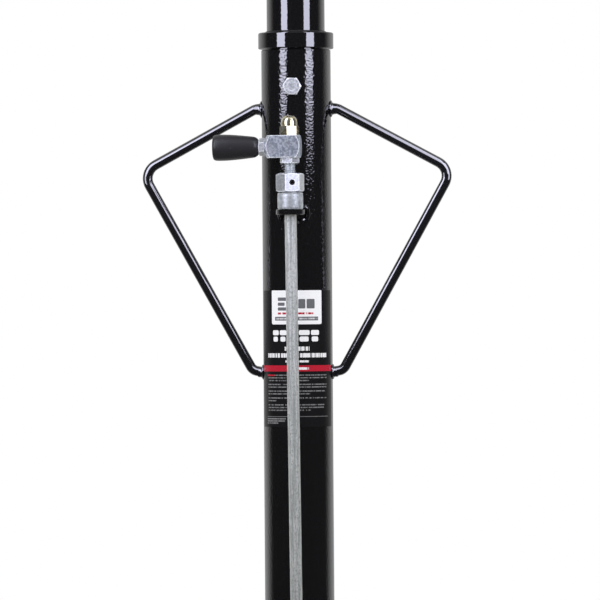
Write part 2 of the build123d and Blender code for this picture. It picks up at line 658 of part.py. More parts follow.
def pump_pedal():
    """Two side arms, the roller bar that pushes the plunger, a cross tube and the tread plate."""
    arm = Polyline(
        (0, PIVOT_Y + 11, PIVOT_Z - 4), (0, PIVOT_Y + 11, PIVOT_Z + 6), (0, PIVOT_Y + 4, PIVOT_Z + 12),
        (0, PUSHER_Y - 8, PUSHER_Z + 9), (0, PEDAL_PAD, PEDAL_TOP - 3), (0, PEDAL_END, PEDAL_TOP - 3),
        (0, PEDAL_END, PEDAL_TOP - 12), (0, PEDAL_PAD + 4, PEDAL_TOP - 20), (0, PUSHER_Y - 14, PUSHER_Z - 10),
        (0, PUSHER_Y + 4, PIVOT_Z - 12), (0, PIVOT_Y + 4, PIVOT_Z - 12), close=True,
    )
    side = extrude(make_face(arm), PEDAL_PLATE, dir=(1, 0, 0))
    lie = Pos(0, PIVOT_Y, PIVOT_Z) * Rot(0, 90, 0)
    pedal = Pos(PEDAL_SIDE, 0, 0) * side + Pos(-PEDAL_SIDE - PEDAL_PLATE, 0, 0) * side
    pedal -= lie * Cylinder(PIVOT_R + 0.08, 200)
    pedal += Pos(0, PUSHER_Y, PUSHER_Z) * Rot(0, 90, 0) * Cylinder(PUSHER_R, 2 * PEDAL_SIDE + 1)
    pedal += Pos(0, *PEDAL_CROSS) * Rot(0, 90, 0) * Cylinder(PEDAL_CROSS_R, 2 * PEDAL_SIDE + 1)
    tread = slab((-50, 50), (PEDAL_END, PEDAL_PAD), (PEDAL_TOP - 3, PEDAL_TOP))
    tread = fillet(tread.edges().filter_by(Axis.Z), 8.0)
    return pedal + tread


def pedal_pad():
    """Ribbed rubber pad on the tread plate."""
    low = PEDAL_TOP
    pad = slab((-48, 48), (PEDAL_END + 2, PEDAL_PAD - 2), (low, low + 4))
    pad = fillet(pad.edges().filter_by(Axis.Z), 7.0)
    for n in range(8):
        y = PEDAL_END + 8 + n * 6.2
        pad += slab((-42, 42), (y, y + 3), (low + 3.5, low + 6))
    return pad


# ---------------------------------------------------------------- saddle


def saddle_post():
    """Pin in the ram's bore, with the flange that the saddle plate is welded to."""
    pin = rod(SADDLE_PIN_R, RAM_TOP - 62, RAM_TOP + CLEAR)
    pin = chamfer(pin.edges().filter_by(GeomType.CIRCLE).sort_by(Axis.Z)[0], 2.0)
    return pin + rod(SADDLE_FLANGE_R, RAM_TOP + CLEAR, SADDLE_BASE)


def saddle_plate():
    half = SADDLE_SIDE / 2
    plate = slab((-half, half), (-half, half), (SADDLE_BASE, SADDLE_TOP))
    plate = fillet(plate.edges().filter_by(Axis.Z), 16.0)
    plate = chamfer(plate.faces().sort_by(Axis.Z)[-1].edges(), 1.0)
    for sx, sy in CORNERS.values():
        plate -= Pos(sx * ARM_PIVOT, sy * ARM_PIVOT, 0) * arm_bolt_shape()
        plate -= rod(SADDLE_HOLE_R, SADDLE_BASE, SADDLE_TOP, sx * SADDLE_HOLE_AT, sy * SADDLE_HOLE_AT)
    return plate


def arm_bolt_shape():
    """Countersunk pivot bolt of one saddle arm, flush with the plate's top."""
    return turned(
        (0, ARM_BASE - 12), (BOLT_R, ARM_BASE - 12), (BOLT_R, SADDLE_TOP - 5.3), (9.6, SADDLE_TOP - 0.7),
        (9.6, SADDLE_TOP), (0, SADDLE_TOP),
    )


def saddle_arm_bolts():
    nut = hexagon(17.0, ARM_BASE - 9.3, ARM_BASE - 0.3, bore=BOLT_R)
    bolt = arm_bolt_shape() - Pos(0, 0, SADDLE_TOP - 3) * extrude(RegularPolygon(3.5, 6), 4)
    made = []
    for sx, sy in CORNERS.values():
        place = Pos(sx * ARM_PIVOT, sy * ARM_PIVOT, 0)
        made += [place * bolt, place * nut]
    return group(made)


def saddle_arm(sx, sy):
    """Arm that swings under the saddle plate, with a pressed groove and an upright finger at its end."""
    top = SADDLE_BASE - CLEAR
    half = ARM_WIDTH / 2
    finger_x, finger_z = (ARM_LENGTH - FINGER_THICK, ARM_LENGTH), (ARM_BASE, ARM_BASE + FINGER_HEIGHT)
    finger = slab(finger_x, (-half, half), finger_z)
    finger = fillet(finger.edges().filter_by(Axis.X).filter_by(lambda e: e.center().Z > top), 9.0)
    arm = rod(half, ARM_BASE, top) + slab((0, ARM_LENGTH), (-half, half), (ARM_BASE, top)) + finger
    first, last = ARM_GROOVE
    floor = top - ARM_GROOVE_DEPTH
    groove = slab((first, last), (-ARM_GROOVE_R, ARM_GROOVE_R), (floor, top))
    groove += rod(ARM_GROOVE_R, floor, top, first) + rod(ARM_GROOVE_R, floor, top, last)
    arm = arm - groove - rod(BOLT_R + 0.08, ARM_BASE, top)
    angle = math.degrees(math.atan2(sy, sx))
    return Pos(sx * ARM_PIVOT, sy * ARM_PIVOT, 0) * Rot(0, 0, angle) * arm


def main():
    os.makedirs("parts", exist_ok=True)
    keep("outer_tube", outer_tube())
    keep("column_collar", column_collar())
    keep("guide_bush", guide_bush())
    keep("column_wiper", wiper(INNER_R + FIT, WIPER_SEAT_R, COLUMN_TOP - WIPER_DEPTH))
    keep("filler_plug", filler_plug())
    keep("left_handle", side_handle(-1))
    keep("right_handle", side_handle(1))
    keep("rating_label", label())
    keep("cylinder_foot", cylinder_foot())
    keep("inner_tube", inner_tube())
    keep("inner_piston", inner_piston())
    keep("inner_collar", inner_collar())
    keep("inner_bush", inner_bush())
    keep("inner_wiper", wiper(RAM_R + FIT, INNER_WIPER_SEAT_R, INNER_COLLAR_TOP - WIPER_DEPTH))
    keep("ram_rod", ram_rod())
    keep("ram_piston", ram_piston())
    keep("rod_bracket", rod_bracket())
    keep("release_rod", release_rod())
    keep("knurled_collar", knurled_collar())
    keep("hex_coupling", hex_coupling())
    keep("grub_screw", grub_screw())
    keep("spindle_stud", spindle_stud())
    keep("jam_nut", jam_nut())
    keep("dome_nut", dome_nut())
    keep("lever_block", lever_block())
    keep("lever_nut", lever_nut())
    keep("lever_grip", lever_grip())
    keep("release_gland", release_gland())
    keep("lower_frame_plate", frame_plate(LEG_BOTTOM - LOWER_PLATE, LOWER_PLATE))
    keep("upper_frame_plate", frame_plate(LEG_TOP, UPPER_PLATE) - rod(OUTER_R, LEG_TOP, PUMP_BASE))
    keep("leg_end_caps", group([leg_end_cap(angle) for angle in LEG_ANGLES.values()]))
    keep("leg_fasteners", leg_fasteners())
    keep("caster_plates", group([caster_plate(angle) for angle in LEG_ANGLES.values()]))
    for name, angle in LEG_ANGLES.items():
        x, y = around(CASTER_AT, angle)
        keep(f"leg_{name}", leg(angle))
        keep(f"caster_fork_{name}", Pos(x, y, 0) * caster_fork())
        keep(f"caster_wheel_{name}", Pos(x, y, 0) * caster_wheel())
    keep("pump_block", pump_block())
    keep("pump_block_bolts", pump_block_bolts())
    keep("pump_barrel", pump_barrel())
    keep("pump_plunger", pump_plunger())
    keep("plunger_spring", plunger_spring())
    keep("pedal_ears", pedal_ears())
    keep("pump_pedal", pump_pedal())
    keep("pedal_pad", pedal_pad())
    keep("saddle_post", saddle_post())
    keep("saddle_plate", saddle_plate())
    keep("saddle_arm_bolts", saddle_arm_bolts())
    for name, (sx, sy) in CORNERS.items():
        keep(f"saddle_arm_{name}", saddle_arm(sx, sy))


main()
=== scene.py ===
"""Looks for a two-stage vertical transmission jack.

Sizes are in millimetres until a piece is made, in the row's own frame: +Z up, the column's
axis at X 0 and Y 0, the operator on the -Y side.
"""

import json
import math

import bpy
from mathutils import Matrix, Vector

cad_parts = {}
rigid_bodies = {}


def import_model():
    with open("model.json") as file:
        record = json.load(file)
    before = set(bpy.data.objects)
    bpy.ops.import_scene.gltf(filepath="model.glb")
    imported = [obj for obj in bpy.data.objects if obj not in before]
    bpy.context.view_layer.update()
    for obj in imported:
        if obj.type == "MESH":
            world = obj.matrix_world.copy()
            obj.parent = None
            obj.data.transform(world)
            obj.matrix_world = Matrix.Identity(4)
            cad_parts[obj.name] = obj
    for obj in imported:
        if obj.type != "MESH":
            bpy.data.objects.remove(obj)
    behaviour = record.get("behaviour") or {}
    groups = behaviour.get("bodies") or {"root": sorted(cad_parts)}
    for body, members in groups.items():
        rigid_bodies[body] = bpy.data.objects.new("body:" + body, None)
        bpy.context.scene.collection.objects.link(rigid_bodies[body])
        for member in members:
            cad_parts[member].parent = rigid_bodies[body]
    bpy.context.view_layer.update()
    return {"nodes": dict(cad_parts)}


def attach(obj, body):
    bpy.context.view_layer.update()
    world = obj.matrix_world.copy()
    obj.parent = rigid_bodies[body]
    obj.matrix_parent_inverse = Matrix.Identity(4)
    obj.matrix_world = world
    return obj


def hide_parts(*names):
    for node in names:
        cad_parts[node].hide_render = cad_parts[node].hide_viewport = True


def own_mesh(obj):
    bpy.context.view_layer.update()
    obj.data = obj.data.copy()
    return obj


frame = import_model()

MM = 0.001
HERE = (0, 0, 0)
POINTS, EDGES, FACES = (True, False, False), (False, True, False), (False, False, True)
SPIN_WAY = -1.0  # a spin turns against its axis here

VIEW_ANGLE, VIEW_HEIGHT, VIEW_REACH = 6.0, 656.8, 6000.0
VIEW_ROLL, VIEW_WIDTH, VIEW_ASIDE = -0.41, 658.8, 2.6

# ---- sizes shared with the frame

OUTER_R, INNER_R, RAM_R = 38.0, 31.75, 22.5
COLUMN_TOP, INNER_TOP, RAM_TOP = 950.0, 1005.0, 1050.0
LEG_BOTTOM, LEG_TOP, LEG_END = 105.0, 145.0, 375.0
DECK = LEG_TOP + 6.0
PUMP_TOP = 201.0
ROD_R, STUD_R = 6.5, 6.0
ROD_Y, LUG_X, LUG_TOP = -58.0, -1.0, 755.5
ROD_FOOT_X, ROD_FOOT = 3.0, 258.0
LEAN = math.atan((ROD_FOOT_X - LUG_X) / (LUG_TOP - ROD_FOOT))
BLOCK_BASE, BLOCK_TOP = 811.5, 836.0
BLOCK_MIDDLE = (BLOCK_BASE + BLOCK_TOP) / 2
COUPLING_MIDDLE = 784.5
PLUG_HEIGHT = 890.0
PUMP_Y = -100.0
PIVOT_Y, PIVOT_Z = -78.0, 285.0
PUSH_REACH, PUSH_RISE = 22.0, math.radians(15)
PUSH_Y, PUSH_Z = PIVOT_Y - PUSH_REACH * math.cos(PUSH_RISE), PIVOT_Z + PUSH_REACH * math.sin(PUSH_RISE)
CASTER_AT = 338.0
WHEEL_TRAIL, WHEEL_R = 28.0, 40.0
SADDLE_BOLT_AT, SADDLE_HOLE_AT = 68.0, 45.0
SADDLE_BASE, SADDLE_TOP = 1058.0, 1066.0
ARM_BASE, ARM_TOP, FINGER_TOP, FINGER_IN, FINGER_OUT = 1050.0, 1057.7, 1102.0, 107.0, 115.0
LEG_ANGLES = {"front_left": 225, "front_right": 315, "rear_left": 135, "rear_right": 45}
CORNERS = {"front_left": (-1, -1), "front_right": (1, -1), "rear_left": (-1, 1), "rear_right": (1, 1)}


# ---- shader maths


class Value:
    """A socket that takes part in sums like a number."""

    def __init__(self, recipe, socket):
        self.recipe, self.socket = recipe, socket

    def sum(self, operation, *others):
        return self.recipe.math(operation, *others)

    def __add__(self, other):
        return self.sum("ADD", self, other)

    __radd__ = __add__

    def __sub__(self, other):
        return self.sum("SUBTRACT", self, other)

    def __rsub__(self, other):
        return self.sum("SUBTRACT", other, self)

    def __mul__(self, other):
        return self.sum("MULTIPLY", self, other)

    __rmul__ = __mul__

    def __pow__(self, other):
        return self.sum("POWER", self, other)

    def __abs__(self):
        return self.sum("ABSOLUTE", self)


class Recipe:
    """A node tree, built up node by node."""

    def __init__(self, owner):
        owner.use_nodes = True
        self.tree = owner.node_tree
        self.tree.nodes.clear()

    def feed(self, socket, value):
        if isinstance(value, Value):
            self.tree.links.new(value.socket, socket)
        elif isinstance(value, (tuple, list)) and len(socket.default_value) == 4 and len(value) == 3:
            socket.default_value = (*value, 1.0)
        else:
            socket.default_value = value

    def node(self, kind, settings=None, sockets=None):
        made = self.tree.nodes.new(kind)
        for key, value in (settings or {}).items():
            setattr(made, key, value)
        for key, value in (sockets or {}).items():
            self.feed(made.inputs[key], value)
        return Node(self, made)

    def math(self, operation, *values):
        return self.node("ShaderNodeMath", {"operation": operation}, dict(enumerate(values))).output(0)

    def blend(self, share, first, second):
        sockets = {0: share, 6: first, 7: second}
        return self.node("ShaderNodeMix", {"data_type": "RGBA"}, sockets).output(2)

    def ease(self, value, low, high):
        """0 at the low end, 1 at the high end, with a soft start and stop."""
        sockets = {"Value": value, "From Min": low, "From Max": high}
        return self.node("ShaderNodeMapRange", {"interpolation_type": "SMOOTHSTEP"}, sockets).output(0)

    def stretched(self, scale, turned_by=HERE):
        sockets = {"Vector": self.place, "Rotation": turned_by, "Scale": scale}
        return self.node("ShaderNodeMapping", None, sockets).output(0)

    def noise(self, scale, detail=2.0, roughness=0.5, where=None):
        sockets = {"Vector": where or self.place, "Scale": scale, "Detail": detail, "Roughness": roughness}
        return self.node("ShaderNodeTexNoise", None, sockets).output(0)

    def axes(self):
        parts = self.node("ShaderNodeSeparateXYZ", None, {0: self.place})
        return parts.output(0), parts.output(1), parts.output(2)


class Finish(Recipe):
    """One material."""

    def __init__(self, name, colour, roughness, metallic=0.0, shine=0.5, bending=1.5):
        self.material = bpy.data.materials.new(name)
        super().__init__(self.material)
        output = self.tree.nodes.new("ShaderNodeOutputMaterial")
        self.surface = self.tree.nodes.new("ShaderNodeBsdfPrincipled")
        self.tree.links.new(self.surface.outputs[0], output.inputs["Surface"])
        self.place = self.node("ShaderNodeTexCoord").output("Object")
        self.material.diffuse_color = (*colour, 1.0)
        constants = {"Base Color": colour, "Roughness": roughness, "Metallic": metallic}
        constants.update({"Specular IOR Level": shine, "IOR": bending})
        for key, value in constants.items():
            self.feed(self.surface.inputs[key], value)

    def edges(self, radius):
        """1 on a convex or hollow edge, 0 on the flats."""
        rounded = self.node("ShaderNodeBevel", {"samples": 4}, {"Radius": radius * MM}).output(0)
        plain = self.node("ShaderNodeNewGeometry").output("Normal")
        along = self.node("ShaderNodeVectorMath", {"operation": "DOT_PRODUCT"}, {0: rounded, 1: plain})
        return self.ease(along.output("Value"), 0.9995, 0.965)

    def relief(self, height, depth):
        sockets = {"Height": height, "Distance": depth * MM, "Strength": 1.0}
        self.feed(self.surface.inputs["Normal"], self.node("ShaderNodeBump", None, sockets).output(0))

    def colour(self, value):
        self.feed(self.surface.inputs["Base Color"], value)

    def tint(self, share, first, second):
        self.colour(self.blend(share, first, second))

    def rough(self, value):
        self.feed(self.surface.inputs["Roughness"], value)


class Node:
    """A made node, asked for its outputs by name or number."""

    def __init__(self, recipe, made):
        self.recipe, self.made = recipe, made

    def output(self, key):
        return Value(self.recipe, self.made.outputs[key])


# ---- finishes


def gloss_paint(name, peel=1.0, shine=1.0):
    """Black stove enamel: deep gloss, a little orange peel, faint scuffs."""
    made = Finish(name, (0.004, 0.004, 0.005), 0.1, 0.0, shine, 1.72)
    peeled = made.noise(1.0, 0.0, 0.5, made.stretched((430.0, 430.0, 480.0)))
    slow = made.noise(60.0, 2.0, 0.5)
    scuffs = made.ease(made.noise(34.0, 6.0, 0.62), 0.6, 0.74)
    fine = made.ease(made.noise(900.0, 3.0, 0.7), 0.5, 0.8)
    made.rough(0.04 + 0.04 * slow + 0.08 * scuffs * fine)
    made.tint(0.35 * scuffs * fine, (0.0035, 0.0035, 0.0042), (0.02, 0.02, 0.022))
    made.relief(peeled, 0.17 * peel)
    return made.material


def bright_zinc(name, tint=(0.86, 0.88, 0.89), dark=(0.62, 0.65, 0.67), rough=0.36, metallic=0.85):
    """Clear zinc plating: bluish, mottled, with a painted highlight that tints the edges near white."""
    made = Finish(name, tint, rough, metallic)
    mottle = made.noise(420.0, 6.0, 0.66)
    patches = made.ease(mottle, 0.4, 0.6)
    grain = made.noise(1600.0, 3.0, 0.6)
    edge = made.edges(1.5)
    body = made.blend(patches, dark, tint)
    warm = made.blend(0.35 * made.ease(made.noise(90.0, 2.0), 0.5, 0.7), body, (0.62, 0.61, 0.65))
    # painted highlight: the edges are tinted near white and made less metallic, so they read brighter than the
    # flats
    made.tint(edge, warm, (0.95, 0.97, 1.0))
    made.feed(made.surface.inputs["Metallic"], metallic - 0.5 * edge)
    made.rough(rough + 0.08 * patches - 0.1 * edge + 0.06 * grain)
    made.relief(mottle + 0.35 * grain, 0.05)
    return made.material


def drawn_zinc(name):
    """Galvanised bar: streaks along it, grey mottling and a few light scratches."""
    made = Finish(name, (0.6, 0.63, 0.61), 0.42, 0.6)
    streaks = made.noise(1.0, 4.0, 0.6, made.stretched((520.0, 520.0, 22.0)))
    spangle = made.noise(1.0, 5.0, 0.7, made.stretched((620.0, 620.0, 360.0)))
    scratch = made.noise(1.0, 2.0, 0.5, made.stretched((1500.0, 160.0, 60.0), (0.3, 0.75, 0.2)))
    marks = made.ease(scratch, 0.66, 0.7)
    body = made.blend(made.ease(streaks, 0.34, 0.66), (0.50, 0.525, 0.50), (0.84, 0.86, 0.83))
    body = made.blend(0.75 * made.ease(spangle, 0.48, 0.6), body, (0.39, 0.41, 0.39))
    made.tint(marks, body, (0.98, 0.98, 0.98))
    made.rough(0.36 + 0.2 * spangle)
    made.relief(streaks + 0.7 * spangle, 0.1)
    return made.material


def knurled_steel(name):
    made = Finish(name, (0.6, 0.63, 0.66), 0.42, 0.7)
    mottle = made.noise(220.0, 5.0, 0.6)
    made.tint(made.ease(mottle, 0.35, 0.7), (0.54, 0.58, 0.60), (0.84, 0.88, 0.90))
    made.rough(0.36 + 0.16 * mottle)
    made.relief(made.noise(1500.0, 2.0), 0.03)
    return made.material


def yellow_zinc(name):
    """Pale yellow passivated plating, polished."""
    made = Finish(name, (0.86, 0.80, 0.56), 0.2, 0.95)
    clouds = made.ease(made.noise(240.0, 3.0), 0.35, 0.7)
    made.tint(clouds, (0.80, 0.72, 0.44), (0.92, 0.88, 0.74))
    made.rough(0.14 + 0.12 * clouds)
    made.relief(made.noise(700.0, 3.0), 0.02)
    return made.material


def polished_chrome(name):
    """Hard chrome with the faint rings that grinding leaves."""
    made = Finish(name, (0.80, 0.81, 0.83), 0.08, 1.0)
    rings = made.noise(1.0, 3.0, 0.6, made.stretched((6.0, 6.0, 2600.0)))
    smear = made.ease(made.noise(30.0, 4.0, 0.6), 0.45, 0.75)
    made.tint(smear, (0.80, 0.81, 0.83), (0.70, 0.70, 0.71))
    made.rough(0.06 + 0.05 * rings + 0.09 * smear)
    made.relief(rings, 0.0008)
    return made.material


def moulded_plastic(name, colour, rough, grain):
    """Moulded black plastic with a fine spark-eroded grain."""
    made = Finish(name, colour, rough)
    fine = made.noise(1300.0, 3.0, 0.6)
    wear = made.ease(made.noise(80.0, 5.0, 0.6), 0.55, 0.75)
    light = tuple(min(1.0, c * 1.6 + 0.004) for c in colour)
    made.tint(0.5 * wear, colour, light)
    made.rough(rough + 0.1 * fine - 0.08 * wear)
    made.relief(fine, grain)
    return made.material


def ribbed_rubber(name):
    colour = (0.018, 0.018, 0.018)
    made = Finish(name, colour, 0.7)
    dust = made.ease(made.noise(120.0, 6.0, 0.65), 0.5, 0.8)
    fine = made.noise(800.0, 3.0, 0.6)
    made.tint(0.6 * dust, colour, (0.055, 0.053, 0.05))
    made.rough(0.62 + 0.2 * dust)
    made.relief(fine, 0.06)
    return made.material


def turned_metal(name, colour, rough):
    """Lathe-turned metal: fine rings up its length."""
    made = Finish(name, colour, rough, 1.0)
    rings = made.noise(1.0, 2.0, 0.5, made.stretched((10.0, 10.0, 1800.0)))
    dull = tuple(c * 0.7 for c in colour)
    made.tint(made.ease(made.noise(90.0, 4.0), 0.4, 0.75), colour, dull)
    made.rough(rough + 0.14 * rings)
    made.relief(rings, 0.012)
    return made.material


def black_oxide(name):
    made = Finish(name, (0.03, 0.03, 0.033), 0.36, 0.7)
    made.tint(made.edges(0.4), (0.028, 0.028, 0.031), (0.22, 0.22, 0.23))
    made.rough(0.32 + 0.14 * made.noise(500.0, 4.0))
    made.relief(made.noise(900.0, 2.0), 0.02)
    return made.material


# ---- label print

LABEL_FOOT, LABEL_HIGH = 518.3, 667.4
LABEL_SWEEP, LABEL_MIDDLE, LABEL_THICK = 147.0, 2.2, 0.25
LABEL_PANEL = (-27.5, 32.4, 112.0, 150.0)
PANEL_MARKS = [
    (-18.9, -8.2, 137.6, 141.4), (-18.9, -10.5, 132.2, 135.8), (-18.9, -8.2, 127.0, 130.6),
    (4.6, 12.4, 129.2, 139.6), (13.8, 23.2, 129.2, 139.6),
]
LABEL_HEADLINE = [(-26.0, -18.0), (-16.6, -8.6), (-7.2, 0.8), (5.0, 17.0), (18.6, 28.6)]
LABEL_SUBHEADS = [(-10.7, 16.7, 83.2, 87.6), (-35.2, 40.2, 75.8, 80.4), (-10.0, 16.0, 70.4, 72.6)]
LABEL_LINES = [56.5, 53.6, 50.6, 46.4, 43.5, 39.1, 36.1, 31.6, 28.6, 24.1, 21.2, 18.2]
LABEL_LINE_ENDS = [40, 40, 16, 40, 40, 37, 17, 40, -22, 36, 35, 18]
LABEL_SMALL_LINES = [(8.9, -10.0), (6.5, -10.0), (4.2, -19.0)]


def label_print(name):
    """Black film with a white panel, a red band and plain bars where print would be."""
    made = Finish(name, (0.008, 0.008, 0.009), 0.3, 0.0, 0.3)
    x, y, z = made.axes()
    across = made.math("ARCTAN2", x, 0.0 - y) * OUTER_R
    up = z * 1000.0 - LABEL_FOOT

    def bar(left, right, low, high):
        beside = made.math("MINIMUM", across - left, right - across)
        above = made.math("MINIMUM", up - low, high - up)
        return made.ease(made.math("MINIMUM", beside, above), -0.12, 0.12)

    def rounded(left, right, low, high, radius):
        aside = made.math("MAXIMUM", abs(across - (left + right) / 2) - ((right - left) / 2 - radius), 0.0)
        above = made.math("MAXIMUM", abs(up - (low + high) / 2) - ((high - low) / 2 - radius), 0.0)
        return made.ease((aside * aside + above * above) ** 0.5, radius + 0.15, radius - 0.15)

    def words(scale, row, share):
        spot = made.node("ShaderNodeCombineXYZ", None, {0: across * scale, 1: row * 7.3, 2: 0.5})
        return made.ease(made.noise(1.0, 3.0, 0.7, spot.output(0)), share - 0.03, share + 0.03)

    ink, white, red = (0.008, 0.008, 0.0085), (0.80, 0.80, 0.79), (0.43, 0.006, 0.024)
    grey = (0.2, 0.2, 0.2)
    colour = ink

    def stamp(mask, paint):
        nonlocal colour
        colour = made.blend(mask, colour, paint)

    stamp(rounded(*LABEL_PANEL, 2.2), white)
    for mark in PANEL_MARKS:
        stamp(rounded(*mark, 1.0), (0.13, 0.13, 0.14))
    stamp(bar(-19.3, 23.0, 122.8, 125.0) * words(0.55, 1, 0.46), red)
    stamp(bar(-22.7, 27.6, 116.1, 120.3), (0.11, 0.11, 0.12))
    stamp(bar(-21.5, 26.4, 117.3, 119.1) * words(0.7, 2, 0.47), (0.55, 0.55, 0.55))
    for left, right in LABEL_HEADLINE:
        stamp(rounded(left, right, 100.2, 105.6, 1.6), white)
        stamp(rounded(left + 0.8, right - 1.2, 93.2, 98.6, 1.6), white)
    for row, box in enumerate(LABEL_SUBHEADS):
        stamp(bar(*box) * words(0.75, row + 3, 0.45), white)
    stamp(bar(-60.0, 60.0, 60.6, 67.2), red)
    stamp(bar(-8.0, 16.0, 62.4, 65.0) * words(0.5, 9, 0.45), white)
    for row, (height, right) in enumerate(zip(LABEL_LINES, LABEL_LINE_ENDS)):
        stamp(bar(-34.6, right, height - 0.6, height + 0.6) * words(0.95, row + 10, 0.46), grey)
    stamp(bar(-36.6, -24.0, 55.6, 57.2) * words(0.6, 31, 0.4), red)
    stamp(bar(-37.0, 42.0, 11.05, 11.55), grey)
    for row, (height, right) in enumerate(LABEL_SMALL_LINES):
        stamp(bar(-37.0, right, height - 0.7, height + 0.7) * words(0.8, row + 25, 0.44), grey)
    made.colour(colour)
    wear = made.noise(300.0, 4.0, 0.6)
    made.rough(0.24 + 0.14 * wear)
    made.relief(made.noise(90.0, 2.0), 0.04)
    return made.material


# ---- making pieces


def put_down():
    """Leaves edit mode with nothing selected."""
    if bpy.context.mode != "OBJECT":
        bpy.ops.object.mode_set(mode="OBJECT")
    bpy.ops.object.select_all(action="DESELECT")


def hold(piece):
    put_down()
    piece.select_set(True)
    bpy.context.view_layer.objects.active = piece
    return piece


def edit(piece, choose=None, kind=None):
    """Edit mode on a piece; a test picks what is selected, of one kind of element."""
    hold(piece)
    if kind:
        bpy.context.tool_settings.mesh_select_mode = kind
    bpy.ops.object.mode_set(mode="EDIT")
    if choose:
        bpy.ops.mesh.select_all(action="DESELECT")
        bpy.ops.object.mode_set(mode="OBJECT")
        choose(bpy.context.object.data)
        bpy.ops.object.mode_set(mode="EDIT")


def done_editing():
    bpy.ops.object.mode_set(mode="OBJECT")
    return bpy.context.object


def tidy_skin():
    """Merges doubles and turns every face outwards, in edit mode."""
    bpy.ops.mesh.select_all(action="SELECT")
    bpy.ops.mesh.remove_doubles(threshold=0.002 * MM)
    bpy.ops.mesh.normals_make_consistent(inside=False)


def freeze(piece):
    """The object back at the origin, its place in its mesh."""
    hold(piece)
    bpy.ops.object.transform_apply(location=True, rotation=True, scale=True)
    return piece


def moved(piece, matrix):
    piece.matrix_world = matrix @ piece.matrix_world
    return freeze(piece)


def shift(x, y, z):
    return Matrix.Translation((x * MM, y * MM, z * MM))


def turn(degrees, axis):
    return Matrix.Rotation(math.radians(degrees), 4, axis)


def modify(piece, kind, **settings):
    hold(piece)
    bpy.ops.object.modifier_add(type=kind)
    added = piece.modifiers[-1]
    for key, value in settings.items():
        setattr(added, key, value)
    bpy.ops.object.modifier_apply(modifier=added.name)
    return piece


def eased(piece, width, steps=3, angle=30.0):
    """Small rounds on the sharp edges."""
    return modify(
        piece, "BEVEL", width=width * MM, segments=steps, limit_method="ANGLE", miter_outer="MITER_ARC",
        angle_limit=math.radians(angle), harden_normals=False, use_clamp_overlap=True,
    )


def combine(piece, tool, operation):
    modify(piece, "BOOLEAN", operation=operation, object=tool, solver="EXACT")
    bpy.data.objects.remove(tool)
    return piece


def cut(piece, *tools):
    for tool in tools:
        combine(piece, tool, "DIFFERENCE")
    return piece


def trim(piece, tool):
    return combine(piece, tool, "INTERSECT")


def weld_on(piece, *others):
    for other in others:
        combine(piece, other, "UNION")
    return piece


def joined(*pieces):
    """Several closed shapes as one piece."""
    hold(pieces[0])
    for other in pieces[1:]:
        other.select_set(True)
    bpy.ops.object.join()
    return bpy.context.object


def copied(piece, matrix):
    hold(piece)
    bpy.ops.object.duplicate(linked=False)
    return moved(bpy.context.object, matrix)


def discard(*pieces):
    for piece in pieces:
        bpy.data.objects.remove(piece)


def smooth(piece, angle=32.0):
    """Smooth shading that stays true on the large faces."""
    hold(piece)
    bpy.ops.object.shade_smooth_by_angle(angle=math.radians(angle))
    return modify(piece, "WEIGHTED_NORMAL", weight=50, keep_sharp=True)


def turned(outline, sides=96, ring=False):
    """A shape turned about Z from (radius, height) points; a ring's outline closes on itself."""
    put_down()
    (radius, height), rest = outline[0], list(outline[1:])
    filling = "NOTHING" if ring else "NGON"
    bpy.ops.mesh.primitive_circle_add(
        vertices=sides, radius=radius * MM, fill_type=filling, location=(0, 0, height * MM)
    )
    edit(bpy.context.object)
    for wider, higher in rest + (outline[:1] if ring else []):
        bpy.ops.mesh.extrude_region_move(TRANSFORM_OT_translate={"value": (0, 0, (higher - height) * MM)})
        share = wider / radius
        bpy.ops.transform.resize(value=(share, share, 1), center_override=HERE)
        radius, height = wider, higher
    tidy_skin()
    return freeze(done_editing())


def block(x, y, z):
    """A box from its three (low, high) ranges."""
    put_down()
    middle = [(low + high) / 2 * MM for low, high in (x, y, z)]
    bpy.ops.mesh.primitive_cube_add(size=1.0, location=middle)
    piece = bpy.context.object
    piece.scale = [(high - low) * MM for low, high in (x, y, z)]
    return freeze(piece)


def pin(radius, low, high, sides=48):
    return turned([(radius, low), (radius, high)], sides)


def key_socket(radius, low, high):
    """The hexagonal plug that cuts a socket for a key."""
    put_down()
    bpy.ops.mesh.primitive_cylinder_add(
        vertices=6, radius=radius * MM, depth=(high - low) * MM, location=(0, 0, (low + high) / 2 * MM)
    )
    return freeze(bpy.context.object)


def plate(corners, low, high, rounds=0.0, steps=6):
    """A flat plate from its corner points in XY; rounds is one radius, or one for each corner."""
    put_down()
    bpy.ops.mesh.primitive_circle_add(vertices=len(corners), radius=0.1, fill_type="NGON")
    piece = bpy.context.object
    for point, (x, y) in zip(piece.data.vertices, corners):
        point.co = (x * MM, y * MM, low * MM)
    radii = rounds if isinstance(rounds, (list, tuple)) else [rounds] * len(corners)
    wanted = [Vector((x * MM, y * MM, low * MM)) for x, y in corners]
    for corner, radius in zip(wanted, radii):

        def near(mesh, corner=corner):
            for point in mesh.vertices:
                point.select = (point.co - corner).length < 1e-6

        if radius:
            edit(piece, near, POINTS)
            bpy.ops.mesh.bevel(offset=radius * MM, segments=steps, affect="VERTICES")
            done_editing()
    edit(piece)
    bpy.ops.mesh.select_all(action="SELECT")
    bpy.ops.mesh.extrude_region_move(TRANSFORM_OT_translate={"value": (0, 0, (high - low) * MM)})
    tidy_skin()
    return freeze(done_editing())


